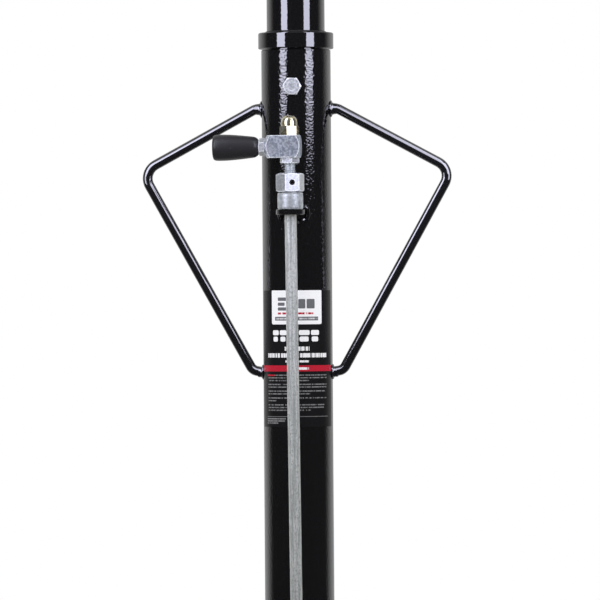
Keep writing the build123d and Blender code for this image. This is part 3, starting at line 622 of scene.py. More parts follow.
def hexed(across, low, high, facing=-90.0, top=True, bottom=True):
    """A hexagon with turned chamfers, one flat facing the given way."""
    corner = across / math.sqrt(3)
    flat = across / 2 * 0.965
    drop = (corner - flat) * math.tan(math.radians(30))
    put_down()
    bpy.ops.mesh.primitive_cylinder_add(
        vertices=6, radius=corner * MM, depth=(high - low) * MM, location=(0, 0, (low + high) / 2 * MM)
    )
    piece = moved(bpy.context.object, turn(facing, "Z"))
    outline = [(flat, low), (corner + 0.02, low + drop)] if bottom else [(corner + 0.5, low - 0.2)]
    outline += [(corner + 0.02, high - drop), (flat, high)] if top else [(corner + 0.5, high + 0.2)]
    trim(piece, turned(outline, 72))
    return eased(piece, 0.18, 2, 25.0)


def bent_bar(radius, points, rounds, sides=32, steps=10):
    """Round bar along straight runs with a bend at each inner point."""
    route = [Vector(p) * MM for p in points]
    put_down()
    way = (route[1] - route[0]).normalized()
    bpy.ops.mesh.primitive_circle_add(vertices=sides, radius=radius * MM, location=route[0])
    piece = bpy.context.object
    piece.rotation_euler = way.to_track_quat("Z", "Y").to_euler()
    edit(freeze(piece))
    bpy.ops.mesh.select_all(action="SELECT")
    spent = 0.0
    for n in range(1, len(route)):
        run = (route[n] - route[n - 1]).length
        if n == len(route) - 1:
            bpy.ops.mesh.extrude_region_move(TRANSFORM_OT_translate={"value": way * (run - spent)})
            break
        after = (route[n + 1] - route[n]).normalized()
        angle = way.angle(after)
        tangent = rounds[n - 1] * MM * math.tan(angle / 2)
        bpy.ops.mesh.extrude_region_move(TRANSFORM_OT_translate={"value": way * (run - spent - tangent)})
        axis = way.cross(after).normalized()
        inward = axis.cross(way).normalized()
        centre = route[n] - way * tangent + inward * rounds[n - 1] * MM
        bpy.ops.mesh.spin(steps=steps, angle=angle * SPIN_WAY, center=centre, axis=axis)
        way, spent = after, tangent
    bpy.ops.mesh.edge_face_add()
    bpy.ops.mesh.select_all(action="DESELECT")
    bpy.context.tool_settings.mesh_select_mode = EDGES
    bpy.ops.mesh.select_non_manifold()
    bpy.ops.mesh.edge_face_add()
    tidy_skin()
    return freeze(done_editing())


def bead(radius, thick, lumps, sides=96):
    """A weld bead lying round Z at height 0, rippled by overlapping passes of the torch."""
    put_down()
    bpy.ops.mesh.primitive_torus_add(
        major_segments=sides * 2, minor_segments=14, major_radius=radius * MM, minor_radius=thick * MM
    )
    piece = bpy.context.object

    def crests(mesh):
        for point in mesh.vertices:
            angle = math.atan2(point.co.y, point.co.x)
            point.select = math.cos(angle * lumps) > 0.35

    edit(piece, crests, POINTS)
    bpy.ops.transform.shrink_fatten(value=-thick * 0.16 * MM)
    bpy.ops.mesh.select_all(action="SELECT")
    bpy.ops.mesh.vertices_smooth(factor=0.5, repeat=3)
    bpy.ops.mesh.normals_make_consistent(inside=False)
    return freeze(done_editing())


def dress(piece, name, finish, body, slot, *stands_for):
    """Names and paints a finished piece, and hangs it on its body in place of its CAD nodes."""
    piece.name = name
    piece.data.name = name
    piece.data.materials.clear()
    piece.data.materials.append(finish)
    smooth(piece)
    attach(piece, body)
    if stands_for:
        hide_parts(*stands_for)
    return piece


ON_SIDE = Matrix(((0, 0, 1, 0), (1, 0, 0, 0), (0, 1, 0, 0), (0, 0, 0, 1)))


def leaning(piece):
    """From the Z axis onto the release rod's leaning axis."""
    to_lug = shift(LUG_X, ROD_Y, LUG_TOP)
    return moved(piece, to_lug @ turn(-math.degrees(LEAN), "Y") @ shift(0, 0, -LUG_TOP))


# ---- the finishes in use

PAINT = gloss_paint("black_gloss_paint")
FLAT_PAINT = gloss_paint("black_frame_paint", 0.5, 0.45)
ZINC = bright_zinc("bright_zinc")
HUB_ZINC = bright_zinc("hub_zinc", (0.70, 0.75, 0.82), (0.36, 0.41, 0.48), 0.3, 0.8)
SMOOTH_PAINT = gloss_paint("black_smooth_paint", 0.16)
HANDLE_PAINT = gloss_paint("black_handle_paint", 0.1)
ROD_ZINC = drawn_zinc("drawn_rod_zinc")
KNURL = knurled_steel("knurled_zinc")
YELLOW = yellow_zinc("yellow_zinc")
CHROME = polished_chrome("ram_chrome")
GRIP = moulded_plastic("grip_plastic", (0.017, 0.017, 0.019), 0.34, 0.02)
CAP = moulded_plastic("cap_plastic", (0.02, 0.02, 0.021), 0.55, 0.05)
NYLON = moulded_plastic("wheel_polymer", (0.03, 0.03, 0.032), 0.42, 0.03)
RUBBER = ribbed_rubber("black_rubber")
LABEL = label_print("label_film")
OXIDE = black_oxide("black_oxide")
SPRING = turned_metal("spring_steel", (0.40, 0.40, 0.42), 0.3)
PISTON = turned_metal("piston_steel", (0.48, 0.48, 0.5), 0.3)
BRONZE = turned_metal("bush_bronze", (0.62, 0.45, 0.24), 0.3)

CARRIED_OVER = {
    "guide_bush": BRONZE, "inner_bush": BRONZE, "inner_piston": PISTON, "ram_piston": PISTON,
    "cylinder_foot": PISTON,
}


# ---- column


def column():
    outline = [(34, LEG_BOTTOM), (OUTER_R, LEG_BOTTOM), (OUTER_R, 930.4), (37.2, 931.2), (34, 931.2)]
    tube = turned(outline, 160, True)
    dress(tube, "outer_column_tube", PAINT, "base", "black_gloss_paint", "outer_tube")

    collar = turned(
        [(31.9, 920.4), (34, 920.4), (34, 932.4), (40.6, 932.4), (41.2, 933.0), (41.2, 948.6), (40.7, 949.6),
         (39.8, COLUMN_TOP), (35.25, COLUMN_TOP), (35.25, 946), (31.9, 946)], 160, True,
    )
    collar = eased(collar, 0.35, 2, 20.0)
    dress(collar, "column_collar_ring", SMOOTH_PAINT, "base", "black_gloss_paint", "column_collar")

    lip = turned(
        [(31.82, 946), (35.2, 946), (35.2, COLUMN_TOP), (34.5, 950.6), (33.9, 950.7), (33.0, 951.4),
         (32.3, 951.75), (31.82, 951.75)], 128, True,
    )
    dress(lip, "column_wiper_lip", RUBBER, "base", "wiper_rubber", "column_wiper")

    foot = moved(bead(OUTER_R + 1.0, 4.0, 60), shift(0, 0, DECK))
    dress(foot, "column_foot_weld", FLAT_PAINT, "base", "black_gloss_paint")

    inner = turned([(27.75, 150), (INNER_R, 150), (INNER_R, INNER_TOP), (27.75, INNER_TOP)], 144, True)
    dress(inner, "inner_column_tube", SMOOTH_PAINT, "inner_stage", "black_gloss_paint", "inner_tube")

    head = turned(
        [(22.7, 987), (27.7, 987), (27.7, INNER_TOP), (35.2, INNER_TOP), (36, 1005.8), (36, 1025.4),
         (35.5, 1026.6), (34.4, 1027), (26, 1027), (26, 1023), (22.7, 1023)], 144, True,
    )
    for angle in range(0, 360, 60):
        hole = moved(pin(2.6, 31.0, 40.0, 24), turn(angle + 30, "Z") @ shift(0, 0, 1016) @ turn(90, "Y"))
        cut(head, hole)
    head = eased(head, 0.3, 2, 25.0)
    dress(head, "inner_column_head", SMOOTH_PAINT, "inner_stage", "black_gloss_paint", "inner_collar")

    lip = turned(
        [(22.57, 1023), (26, 1023), (26, 1027), (25.4, 1027.6), (24.6, 1027.7), (23.6, 1028.4),
         (23.0, 1028.75), (22.57, 1028.75)], 96, True,
    )
    dress(lip, "ram_wiper_lip", RUBBER, "inner_stage", "wiper_rubber", "inner_wiper")

    ram = turned([(15.06, 180), (RAM_R, 180), (RAM_R, 1048.6), (21.0, RAM_TOP), (15.06, RAM_TOP)], 128, True)
    dress(ram, "chrome_ram", CHROME, "ram", "ram_chrome", "ram_rod")


def filler_plug():
    head = hexed(18.0, 1.5, 7.5, bottom=False)
    cut(head, pin(5.1, 7.1, 9.0, 48))
    washer = eased(turned([(8.7, 0.0), (8.7, 1.5)], 72), 0.3, 2)
    seat = pin(8.5, -3.2, 0.2, 64)
    shank = pin(6.0, -8.0, 1.0, 48)
    plug = moved(joined(head, washer, seat, shank), shift(0, -OUTER_R, PLUG_HEIGHT) @ turn(90, "X"))
    dress(plug, "column_plug", ZINC, "base", "bright_zinc", "filler_plug")


def side_handle(name, side):
    corner = (171.2 * side, 0, 798.5)
    top, foot = [(36 * side, 0, 866.5), (45.5 * side, 0, 866.5)], [(50 * side, 0, 580), (36 * side, 0, 577.5)]
    bar = bent_bar(5.5, [*top, corner, *foot], [8.0, 17.0, 10.0], 40, 12)
    lumps = []
    for radius, reach, height in ((8.4, 8.5, 866.4), (7.6, 6.5, 577.9)):
        flare = turned(
            [(radius + 0.4, -2.4), (radius, 0.4), (radius * 0.84, 1.8), (radius * 0.74, 3.6),
             (5.8, reach - 1.5), (5.3, reach)], 48,
        )
        ripple = moved(bead(radius - 0.5, 1.5, 11, 48), shift(0, 0, 0.4))
        place = shift((OUTER_R - 0.3) * side, 0, height) @ turn(90 * side, "Y")
        lumps += [moved(flare, place), moved(ripple, place)]
    handle = joined(bar, *lumps)
    dress(handle, name + "_bar", HANDLE_PAINT, "base", "black_gloss_paint", name)


def rating_label():
    """A thin sheet bent round the tube."""
    put_down()
    bpy.ops.mesh.primitive_cube_add(size=1.0, location=(0, 0, 0))
    sheet = bpy.context.object
    sheet.scale = (LABEL_THICK * MM, 0.1 * MM, (LABEL_HIGH - LABEL_FOOT) * MM)
    sheet.location = ((OUTER_R + LABEL_THICK / 2) * MM, 0, (LABEL_HIGH + LABEL_FOOT) / 2 * MM)
    freeze(sheet)

    def far_side(mesh):
        for face in mesh.polygons:
            face.select = face.normal.y > 0.9

    edit(sheet, far_side, FACES)
    bpy.ops.mesh.spin(steps=72, angle=math.radians(LABEL_SWEEP) * SPIN_WAY, center=HERE, axis=(0, 0, 1))
    tidy_skin()
    sheet = moved(freeze(done_editing()), turn(LABEL_MIDDLE - 90 - LABEL_SWEEP / 2, "Z"))
    dress(sheet, "label_sheet", LABEL, "base", "label_film", "rating_label")


# ---- release gear


def release_gear():
    body = "release_lever"
    rod = leaning(turned([(ROD_R, 188), (ROD_R, 784)], 64))
    dress(rod, "release_rod_bar", ROD_ZINC, body, "drawn_rod_zinc", "release_rod")

    stud = threaded(STUD_R, 780, 850, 1.75, (794.6, 805.4))
    dress(leaning(stud), "spindle_stud_bar", KNURL, body, "bright_zinc", "spindle_stud")

    dress(leaning(knurled_ring()), "knurled_stop_ring", KNURL, body, "knurled_zinc", "knurled_collar")

    facing = -74.0
    into_nut = shift(0, 0, COUPLING_MIDDLE) @ turn(facing, "Z") @ turn(90, "Y")
    nut = hexed(27.0, COUPLING_MIDDLE - 10, COUPLING_MIDDLE + 10, facing)
    hole = moved(pin(2.95, 6.0, 20.0, 40), into_nut)
    sink = moved(turned([(2.6, 12.2), (3.7, 14.2)], 40), into_nut)
    cut(nut, hole, sink)
    dress(leaning(nut), "coupling_nut", ZINC, body, "bright_zinc", "hex_coupling")

    screw = cut(eased(pin(2.8, 6.1, 12.4, 36), 0.25, 2), key_socket(1.6, 9.8, 15.8))
    dress(leaning(moved(screw, into_nut)), "set_screw", OXIDE, body, "black_oxide", "grub_screw")

    nut = hexed(19.0, 805.5, BLOCK_BASE, -101.6)
    dress(leaning(nut), "stud_jam_nut", ZINC, body, "bright_zinc", "jam_nut")

    cap = hexed(19.0, BLOCK_TOP, BLOCK_TOP + 10.4, -69.0, bottom=False)
    top = BLOCK_TOP + 22
    dome = turned(
        [(8.2, top - 13), (9.05, top - 12.4), (9.05, top - 7.8), (8.85, top - 6.2), (8.2, top - 4.2),
         (7.1, top - 2.5), (5.6, top - 1.25), (3.9, top - 0.52), (2.0, top - 0.1), (0.8, top)], 64,
    )
    dress(leaning(joined(cap, dome)), "dome_cap_nut", YELLOW, body, "yellow_zinc", "dome_nut")

    dress(leaning(lever_hub()), "lever_hub_block", HUB_ZINC, body, "bright_zinc", "lever_block")

    nut = joined(hexed(17.0, 0, 7.0, -90), pin(5.0, -6.0, 22.0, 40))
    nut = moved(nut, shift(-26.5, 0, BLOCK_MIDDLE) @ turn(-90, "Y"))
    dress(leaning(nut), "lever_lock_nut", ZINC, body, "bright_zinc", "lever_nut")
    dress(leaning(lever_grip()), "lever_grip_handle", GRIP, body, "grip_plastic", "lever_grip")


def lever_grip():
    """Moulded handle that swells outwards, with a dimpled centre mark and its mould seam."""

    grip = turned(
        [(5.2, 0.4), (6.6, 0.0), (7.6, 0.15), (9.3, 1.4), (10.6, 3.2), (11.35, 5.2), (11.75, 8.0),
         (12.3, 13.0), (12.95, 19.0), (13.5, 25.0), (14.0, 31.0), (14.25, 37.0), (14.3, 42.0), (14.15, 46.4),
         (13.7, 48.3), (12.7, 49.6), (11.2, 50.15), (7.0, 50.42), (2.0, 50.5)], 96,
    )
    mark = eased(block((-1.6, 1.6), (-1.6, 1.6), (-0.35, 0.35)), 0.25, 2)
    mark = moved(mark, shift(0, -14.02, 30.5) @ turn(90, "X"))
    seam = moved(block((13.0, 14.34), (-0.12, 0.12), (34.0, 46.0)), turn(180, "Z"))
    grip = cut(joined(grip, seam), mark)
    return moved(grip, shift(-33.5, 0, BLOCK_MIDDLE) @ turn(-90, "Y"))


def threaded(radius, low, high, pitch, span):
    """A stud with a run of rolled thread."""
    root = radius - pitch * 0.5
    outline = [(radius, low), (radius, span[0])]
    height = span[0]
    while height + pitch <= span[1]:
        outline += [(root, height + pitch * 0.44), (root, height + pitch * 0.56)]
        outline += [(radius, height + pitch * 0.93), (radius, height + pitch)]
        height += pitch
    return turned(outline + [(radius, high)], 48)


def knurled_ring():
    """A ring with a diamond knurl: every other point of a fine lattice stands proud."""
    around, low, high, rows = 84, 755.8, 773.5, 16
    radius = 13.55
    first, last = low + 0.5, high - 1.9
    step = (last - first) / rows
    outline = [(6.6, low), (13.5, low), (radius, first)]
    outline += [(radius, first + step * n) for n in range(1, rows + 1)]
    outline += [(13.9, high - 1.5), (14.0, high - 1.2), (14.0, high - 1.0), (13.0, high), (6.6, high)]
    ring = turned(outline, around, True)

    def peaks(mesh):
        for point in mesh.vertices:
            height = point.co.z / MM
            row = round((height - first) / step)
            spot = round(math.atan2(point.co.y, point.co.x) / (2 * math.pi / around))
            outer = math.hypot(point.co.x, point.co.y) > 13.4 * MM
            point.select = outer and 0 < row < rows and (row + spot) % 2 == 0 and first < height < last - 0.1

    edit(ring, peaks, POINTS)
    bpy.ops.transform.shrink_fatten(value=0.42 * MM)
    return done_editing()


def lever_hub():
    """A square bar whose two ends are turned down, so that arcs show on its four sides."""
    bar = eased(block((-26.5, 12.5), (-12.5, 12.5), (BLOCK_BASE, BLOCK_TOP)), 0.7, 3)
    tool = turned(
        [(8.2, 0), (10.4, 0.55), (12.2, 1.8), (14.4, 3.5), (16.4, 5.2), (18.0, 6.6), (18.0, 33.2),
         (16.2, 35.2), (14.6, 36.6), (13.0, 37.8), (11.8, 38.6), (10.2, 39.0)], 96,
    )
    trim(bar, moved(tool, shift(-26.5, 0, BLOCK_MIDDLE) @ turn(90, "Y")))
    return eased(bar, 0.5, 3, 22.0)


def rod_bracket():
    """The welded eye that guides the release rod."""
    lug = turned([(15.2, 749.5), (15.8, 750.1), (15.8, 754.9), (15.2, 755.5)], 72)
    lug = moved(lug, shift(LUG_X, ROD_Y, 0))
    neck = eased(block((LUG_X - 13.8, LUG_X + 14.8), (ROD_Y, -34), (749.5, 755.5)), 0.5, 2)
    weld_on(neck, lug)
    cut(neck, leaning(pin(6.62, 700, 800, 48)))
    dress(neck, "rod_eye_lug", PAINT, "base", "black_gloss_paint", "rod_bracket")

    runs = []
    for thick, bend, route in (
        (2.9, 3.0, [(-12.5, -36.9, 745.5), (-8.0, -38.6, 742.2), (8.0, -38.6, 742.2), (14.5, -36.2, 745.0)]),
        (3.0, 3.5, [(14.2, -35.6, 743.0), (16.6, -34.4, 749.5), (15.8, -35.2, 756.4), (11.5, -37.0, 759.0)]),
        (2.6, 3.0, [(-12.6, -36.4, 743.6), (-14.6, -35.4, 749.8), (-13.4, -36.2, 755.6)]),
    ):
        route = [(LUG_X + x, y, z) for x, y, z in route]
        runs.append(bent_bar(thick, route, [bend] * (len(route) - 2), 20, 5))
    weld = modify(joined(*runs), "SUBSURF", levels=1, render_levels=1)
    dress(weld, "rod_lug_weld", PAINT, "base", "black_gloss_paint")


# ---- base frame


def at_leg(angle, x=0.0):
    return turn(angle, "Z") @ shift(x, 0, 0)


def spot(radius, angle):
    return radius * math.cos(math.radians(angle)), radius * math.sin(math.radians(angle))


def frame_plates():
    side, corner = 100.0, 35.0
    outline = []
    for n in range(4):
        for x, y in ((side, corner - side), (side, side - corner)):
            a = math.radians(90 * n)
            outline.append((x * math.cos(a) - y * math.sin(a), x * math.sin(a) + y * math.cos(a)))
    lower = eased(plate(outline, LEG_BOTTOM - 8, LEG_BOTTOM, 4.0), 0.8, 3)
    dress(lower, "lower_deck_plate", FLAT_PAINT, "base", "black_gloss_paint", "lower_frame_plate")
    upper = eased(plate(outline, LEG_TOP, DECK, 4.0), 0.8, 3)
    dress(upper, "upper_deck_plate", FLAT_PAINT, "base", "black_gloss_paint", "upper_frame_plate")


def long_edges(mesh):
    for edge in mesh.edges:
        a, b = (mesh.vertices[v].co for v in edge.vertices)
        edge.select = abs(a.x - b.x) > 1.0 * MM


def box_section(x, y, z):
    """A bar along X with its long edges rounded."""
    edit(block(x, y, z), long_edges, EDGES)
    bpy.ops.mesh.bevel(offset=4.0 * MM, segments=6)
    return freeze(done_editing())


def legs_and_caps():
    bolt = hexed(17.0, DECK + 1.6, DECK + 8.0, bottom=False)
    washer = eased(turned([(10.4, DECK), (10.4, DECK + 1.6)], 48), 0.25, 2)
    nut = joined(hexed(17.0, 88.5, 97.0, -90), threaded(5.0, 86.2, 100, 1.5, (86.4, 88.6)))
    one = joined(bolt, washer, nut)
    cap = eased(box_section((LEG_END, LEG_END + 2.5), (-24.5, 24.5), (105.5, 144.5)), 2.2, 4)
    cap = joined(cap, block((LEG_END - 14.0, LEG_END + 0.2), (-21.9, 21.9), (108.1, 141.9)))
    beam = eased(box_section((42.0, LEG_END), (-25, 25), (LEG_BOTTOM, LEG_TOP)), 0.3, 2, 50.0)
    top = caster_top()
    tops, caps, bolts = [], [], []
    for name, angle in LEG_ANGLES.items():
        leg = copied(beam, at_leg(angle))
        dress(leg, "leg_beam_" + name, FLAT_PAINT, "base", "black_gloss_paint", "leg_" + name)
        caps.append(copied(cap, at_leg(angle)))
        tops.append(copied(top, at_leg(angle)))
        for reach in (76.0, 104.0):
            bolts.append(copied(one, shift(*spot(reach, angle), 0)))
    discard(beam, cap, top, one)
    dress(joined(*caps), "leg_end_plugs", CAP, "base", "cap_plastic", "leg_end_caps")
    dress(joined(*tops), "caster_top_plates", ZINC, "base", "bright_zinc", "caster_plates")
    dress(joined(*bolts), "deck_bolts", ZINC, "base", "bright_zinc", "leg_fasteners")


def caster_top():
    flat = plate([(302, -30), (374, -30), (374, 30), (302, 30)], 99.0, 105.0, 6.0)
    race = moved(
        turned([(18.4, 90.1), (19.2, 90.3), (22.0, 92.4), (24.4, 95.0), (25.0, 97.0), (25.0, 99.4)], 72),
        shift(CASTER_AT, 0, 0),
    )
    seam = [
        bent_bar(2.2, [(305, y, 104.4), (340, y + side * 0.6, 104.2), (371, y, 104.4)], [40.0], 14, 4)
        for side, y in ((-1, -24.6), (1, 24.6))
    ]
    return joined(eased(flat, 0.6, 2), race, *seam)


ON_WHEEL = shift(0, WHEEL_TRAIL, WHEEL_R) @ turn(90, "Y")


def caster_fork():
    """Pressed fork, its swivel crown, and the axle bolt through its foot."""
    crown = turned([(27.0, 85.0), (27.0, 87.6), (26.0, 89.0), (17.5, 89.0)], 72)
    crown = joined(crown, pin(8.0, 88.6, 89.9, 40))
    sides = []
    for low, high in ((16.5, 20.0), (-20.0, -16.5)):
        outline = [(-22, 89), (24, 89), (41, 46), (39, 32), (17, 32), (14, 44)]
        cheek = moved(plate(outline, low, high, [0.5, 0.5, 6, 7, 7, 10], 5), ON_SIDE)
        sides.append(eased(cheek, 0.8, 3))
    bridge = eased(block((-20, 20), (-22, 24), (85.0, 89.0)), 1.0, 3)
    head = hexed(13.0, -25.3, -20.0, 0)
    nut = hexed(13.0, 20.0, 26.0, 0)
    shank = eased(pin(5.0, -20.5, 27.0, 36), 0.6, 2)
    axle = moved(joined(head, nut, shank), ON_WHEEL)
    return joined(crown, *sides, bridge), axle


def caster_wheel():
    """Moulded wheel: crowned tread, recessed web with ribs, plain bore."""
    crown = WHEEL_R - 0.015
    outline = [
        (5.08, -16), (12.2, -16), (13, -15.2), (13, -8), (29, -8), (29.6, -13.4), (30.6, -14), (35.5, -15),
        (37.4, -14.2), (38.8, -12.4), (39.6, -9.6), (crown, -5.5), (crown, 0),
    ]
    wheel = turned(outline + [(a, -b) for a, b in reversed(outline[:-1])], 96, True)
    ribs = []
    for side in (-1, 1):
        for n in range(6):
            rib = eased(block((12.0, 30.0), (-1.2, 1.2), sorted((side * 7.5, side * 11.6))), 0.4, 2)
            ribs.append(moved(rib, turn(60 * n + 30 * (side > 0), "Z")))
    grease = moved(turned([(2.2, 7.6), (2.2, 8.6), (1.2, 9.4)], 20), shift(21, 0, 0))
    return moved(joined(eased(wheel, 0.4, 2, 35.0), *ribs, grease), ON_WHEEL)


def casters():
    fork, axle = caster_fork()
    wheel = caster_wheel()
    for name, angle in LEG_ANGLES.items():
        there = shift(*spot(CASTER_AT, angle), 0)
        turns, rolls = "caster_fork_" + name, "caster_wheel_" + name
        dress(copied(fork, there), "fork_shell_" + name, ZINC, turns, "bright_zinc", turns)
        dress(copied(axle, there), "fork_axle_" + name, ZINC, turns, "bright_zinc")
        dress(copied(wheel, there), "wheel_tread_" + name, NYLON, rolls, "wheel_polymer", rolls)
    discard(fork, axle, wheel)


# ---- foot pump


def pump():
    body = plate([(-42, -125), (42, -125), (42, -45), (-42, -45)], DECK, PUMP_TOP, 4.5)
    nose = block((-17, 17), (-46, -33), (DECK + 6, PUMP_TOP - 6))
    body = eased(joined(body, eased(nose, 1.5, 3)), 1.3, 3, 50.0)
    dress(body, "pump_body_block", FLAT_PAINT, "base", "pump_paint", "pump_block")

    screws = []
    for x, y in ((-33, -53), (33, -53), (-33, -117), (33, -117)):
        head = eased(turned([(6.5, PUMP_TOP - 0.5), (6.5, PUMP_TOP + 8)], 56), 0.7, 3)
        cut(head, key_socket(3.6, PUMP_TOP + 4, PUMP_TOP + 13))
        screws.append(moved(head, shift(x, y, 0)))
    dress(joined(*screws), "pump_cap_screws", OXIDE, "base", "black_oxide", "pump_block_bolts")

    collar = hexed(32.0, PUMP_TOP, 213, bottom=False)
    sleeve = turned(
        [(9.08, PUMP_TOP + 1), (15, PUMP_TOP + 1), (15, 229.6), (13.8, 231), (10.4, 231), (9.08, 229.8)],
        72, True,
    )
    barrel = moved(joined(cut(collar, pin(9.08, 190, 240, 48)), sleeve), shift(0, PUMP_Y, 0))
    dress(barrel, "pump_barrel_gland", ZINC, "base", "bright_zinc", "pump_barrel")

    head_top = PUSH_Z - 6.4
    plunger = turned(
        [(9.0, 173.0), (9.0, 275.0), (12.2, 275.0), (13.0, 275.8), (13.0, head_top - 1.6),
         (12.4, head_top - 0.5), (11.2, head_top)], 72,
    )
    plunger = moved(plunger, shift(0, PUMP_Y, 0))
    dress(plunger, "pump_plunger_rod", CHROME, "plunger", "ram_chrome", "pump_plunger")

    spring = moved(coil(11.6, 1.5, 232.7, 273.4, 6), shift(0, PUMP_Y, 0))
    dress(spring, "return_spring_coil", SPRING, "base", "spring_steel", "plunger_spring")
    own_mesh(spring)

    gland_x = ROD_FOOT_X + math.tan(LEAN) * (ROD_FOOT - PUMP_TOP)
    flange = eased(turned([(13.0, PUMP_TOP), (13.0, PUMP_TOP + 4)], 64), 0.5, 2)
    nut = hexed(24.0, PUMP_TOP + 4, PUMP_TOP + 18, bottom=False)
    gland = moved(joined(flange, nut), shift(gland_x, ROD_Y, 0))
    cut(gland, leaning(pin(6.62, PUMP_TOP - 20, PUMP_TOP + 40, 40)))
    dress(gland, "rod_packing_gland", ZINC, "base", "bright_zinc", "release_gland")


def coil(radius, wire, low, high, loops):
    """A compression spring with closed wire ends."""
    put_down()
    bpy.ops.mesh.primitive_circle_add(vertices=14, radius=wire * MM, fill_type="NGON")
    ring = moved(bpy.context.object, shift(radius, 0, low) @ turn(90, "X"))
    wound = modify(
        ring, "SCREW", axis="Z", angle=2 * math.pi, screw_offset=(high - low) / loops * MM,
        iterations=loops, steps=32, render_steps=32, use_smooth_shade=True,
    )
    edit(wound)
    bpy.context.tool_settings.mesh_select_mode = EDGES
    bpy.ops.mesh.select_all(action="DESELECT")
    bpy.ops.mesh.select_non_manifold()
    bpy.ops.mesh.fill_holes(sides=0)
    tidy_skin()
    return freeze(done_editing())


def sideways(x, y, z):
    """From the Z axis onto a line along X."""
    return shift(x, y, z) @ turn(90, "Y")


def pedal():
    outline = [
        (-67, 281), (-67, 291), (-74, 297), (PUSH_Y - 8, PUSH_Z + 9), (-247, 303), (-307, 303), (-307, 294),
        (-243, 286), (PUSH_Y - 14, PUSH_Z - 10), (PUSH_Y + 4, 273), (-74, 273),
    ]
    pieces = []
    for low in (35.0, -41.0):
        arm = moved(plate(outline, low, low + 6.0, [4, 4, 6, 12, 12, 2, 4, 14, 10, 6, 6], 5), ON_SIDE)
        cut(arm, moved(pin(6.08, -100, 100, 40), sideways(0, PIVOT_Y, PIVOT_Z)))
        pieces.append(eased(arm, 0.8, 3))
    bars = ((6.0, PUSH_Y, PUSH_Z), (7.0, -170, 296))
    for radius, y, z in bars:
        pieces.append(moved(pin(radius, -35.4, 35.4, 48), sideways(0, y, z)))
    tread = plate([(-50, -307), (50, -307), (50, -247), (-50, -247)], 303, 306, 8.0)
    pieces.append(eased(tread, 0.6, 2))
    for radius, y, z in bars:
        for side in (-34.6, 34.6):
            pieces.append(moved(bead(radius + 0.6, 1.3, 8, 24), sideways(side, y, z)))
    dress(joined(*pieces), "pedal_arms", FLAT_PAINT, "pedal", "black_gloss_paint", "pump_pedal")

    pad = eased(plate([(-48, -305), (48, -305), (48, -249), (-48, -249)], 306, 310, 7.0), 0.8, 3)
    ribs = [eased(block((-42, 42), (-299 + n * 6.2, -296 + n * 6.2), (309, 312)), 0.9, 3) for n in range(8)]
    dress(joined(pad, *ribs), "pedal_tread_pad", RUBBER, "pedal", "pad_rubber", "pedal_pad")
    pedal_hinge()


def pedal_hinge():
    """The two ears that carry the pedal, and the pin through them."""
    outline = [
        (-66, DECK), (-94, DECK), (-94, 215), (-90, PIVOT_Z), (-86, 297), (-70, 297), (-66, PIVOT_Z),
        (-66, 215),
    ]
    at_pivot = sideways(0, PIVOT_Y, PIVOT_Z)
    ears = []
    for low in (42.0, -48.0):
        ear = moved(plate(outline, low, low + 6.0, [0, 0, 20, 8, 8, 8, 8, 20], 6), ON_SIDE)
        ears.append(cut(eased(ear, 0.8, 3), moved(pin(6.0, -100, 100, 40), at_pivot)))
    shaft = eased(pin(5.98, -50.5, 51.0, 48), 0.8, 3)
    head = eased(turned([(9.0, -54.0), (9.0, -48.2)], 56), 1.0, 3)
    clip = eased(turned([(8.2, 48.3), (8.2, 49.3)], 48), 0.2, 2)
    dress(moved(joined(shaft, head, clip), at_pivot), "pedal_pivot_pin", ZINC, "base", "bright_zinc")
    foot = DECK + 0.8
    welds = [
        bent_bar(2.4, [(x, -93, foot), (x + side * 0.4, -80, foot), (x, -67, foot)], [30.0], 14, 4)
        for side, x in ((-1, -48.4), (1, 48.4))
    ]
    dress(joined(*ears, *welds), "pedal_ear_plates", FLAT_PAINT, "base", "black_gloss_paint", "pedal_ears")


# ---- saddle


def at_corner(corner, reach):
    return shift(corner[0] * reach, corner[1] * reach, 0)


def saddle():
    post = turned(
        [(13.2, 988), (15.0, 989.8), (15.0, 1050.3), (44.2, 1050.3), (45.0, 1051.1), (45.0, SADDLE_BASE)], 112,
    )
    seam = moved(bead(45.6, 2.2, 64, 96), shift(0, 0, 1057.2))
    dress(joined(post, seam), "saddle_flange_post", FLAT_PAINT, "saddle", "black_gloss_paint", "saddle_post")

    top = plate([(-90, -90), (90, -90), (90, 90), (-90, 90)], SADDLE_BASE, SADDLE_TOP, 16.0, 8)
    for corner in CORNERS.values():
        sink = turned([(5.2, 1050), (5.2, 1060.6), (10.0, 1065.4), (10.0, 1070)], 48)
        sink = moved(sink, at_corner(corner, SADDLE_BOLT_AT))
        cut(top, sink, moved(pin(4.5, 1050, 1070, 40), at_corner(corner, SADDLE_HOLE_AT)))
    dress(eased(top, 0.7, 3), "saddle_top_plate", FLAT_PAINT, "saddle", "black_gloss_paint", "saddle_plate")

    screw = turned([(5.0, 1038), (5.0, 1060.7), (9.6, 1065.3), (9.6, 1065.9)], 56)
    cut(screw, key_socket(3.6, 1063.4, 1071.4))
    bolt = joined(eased(screw, 0.2, 2), hexed(17.0, 1040.7, 1049.7))
    bolts = [copied(bolt, at_corner(corner, SADDLE_BOLT_AT)) for corner in CORNERS.values()]
    discard(bolt)
    dress(joined(*bolts), "saddle_pivot_bolts", ZINC, "saddle", "bright_zinc", "saddle_arm_bolts")

    arm = saddle_arm()
    pad = finger_pad()
    for name, corner in CORNERS.items():
        there = at_corner(corner, SADDLE_BOLT_AT) @ turn(LEG_ANGLES[name], "Z")
        body = "saddle_arm_" + name
        dress(copied(arm, there), "swing_arm_" + name, FLAT_PAINT, body, "black_gloss_paint", body)
        dress(copied(pad, there), "finger_pad_" + name, RUBBER, body, "pad_rubber")
    discard(arm, pad)


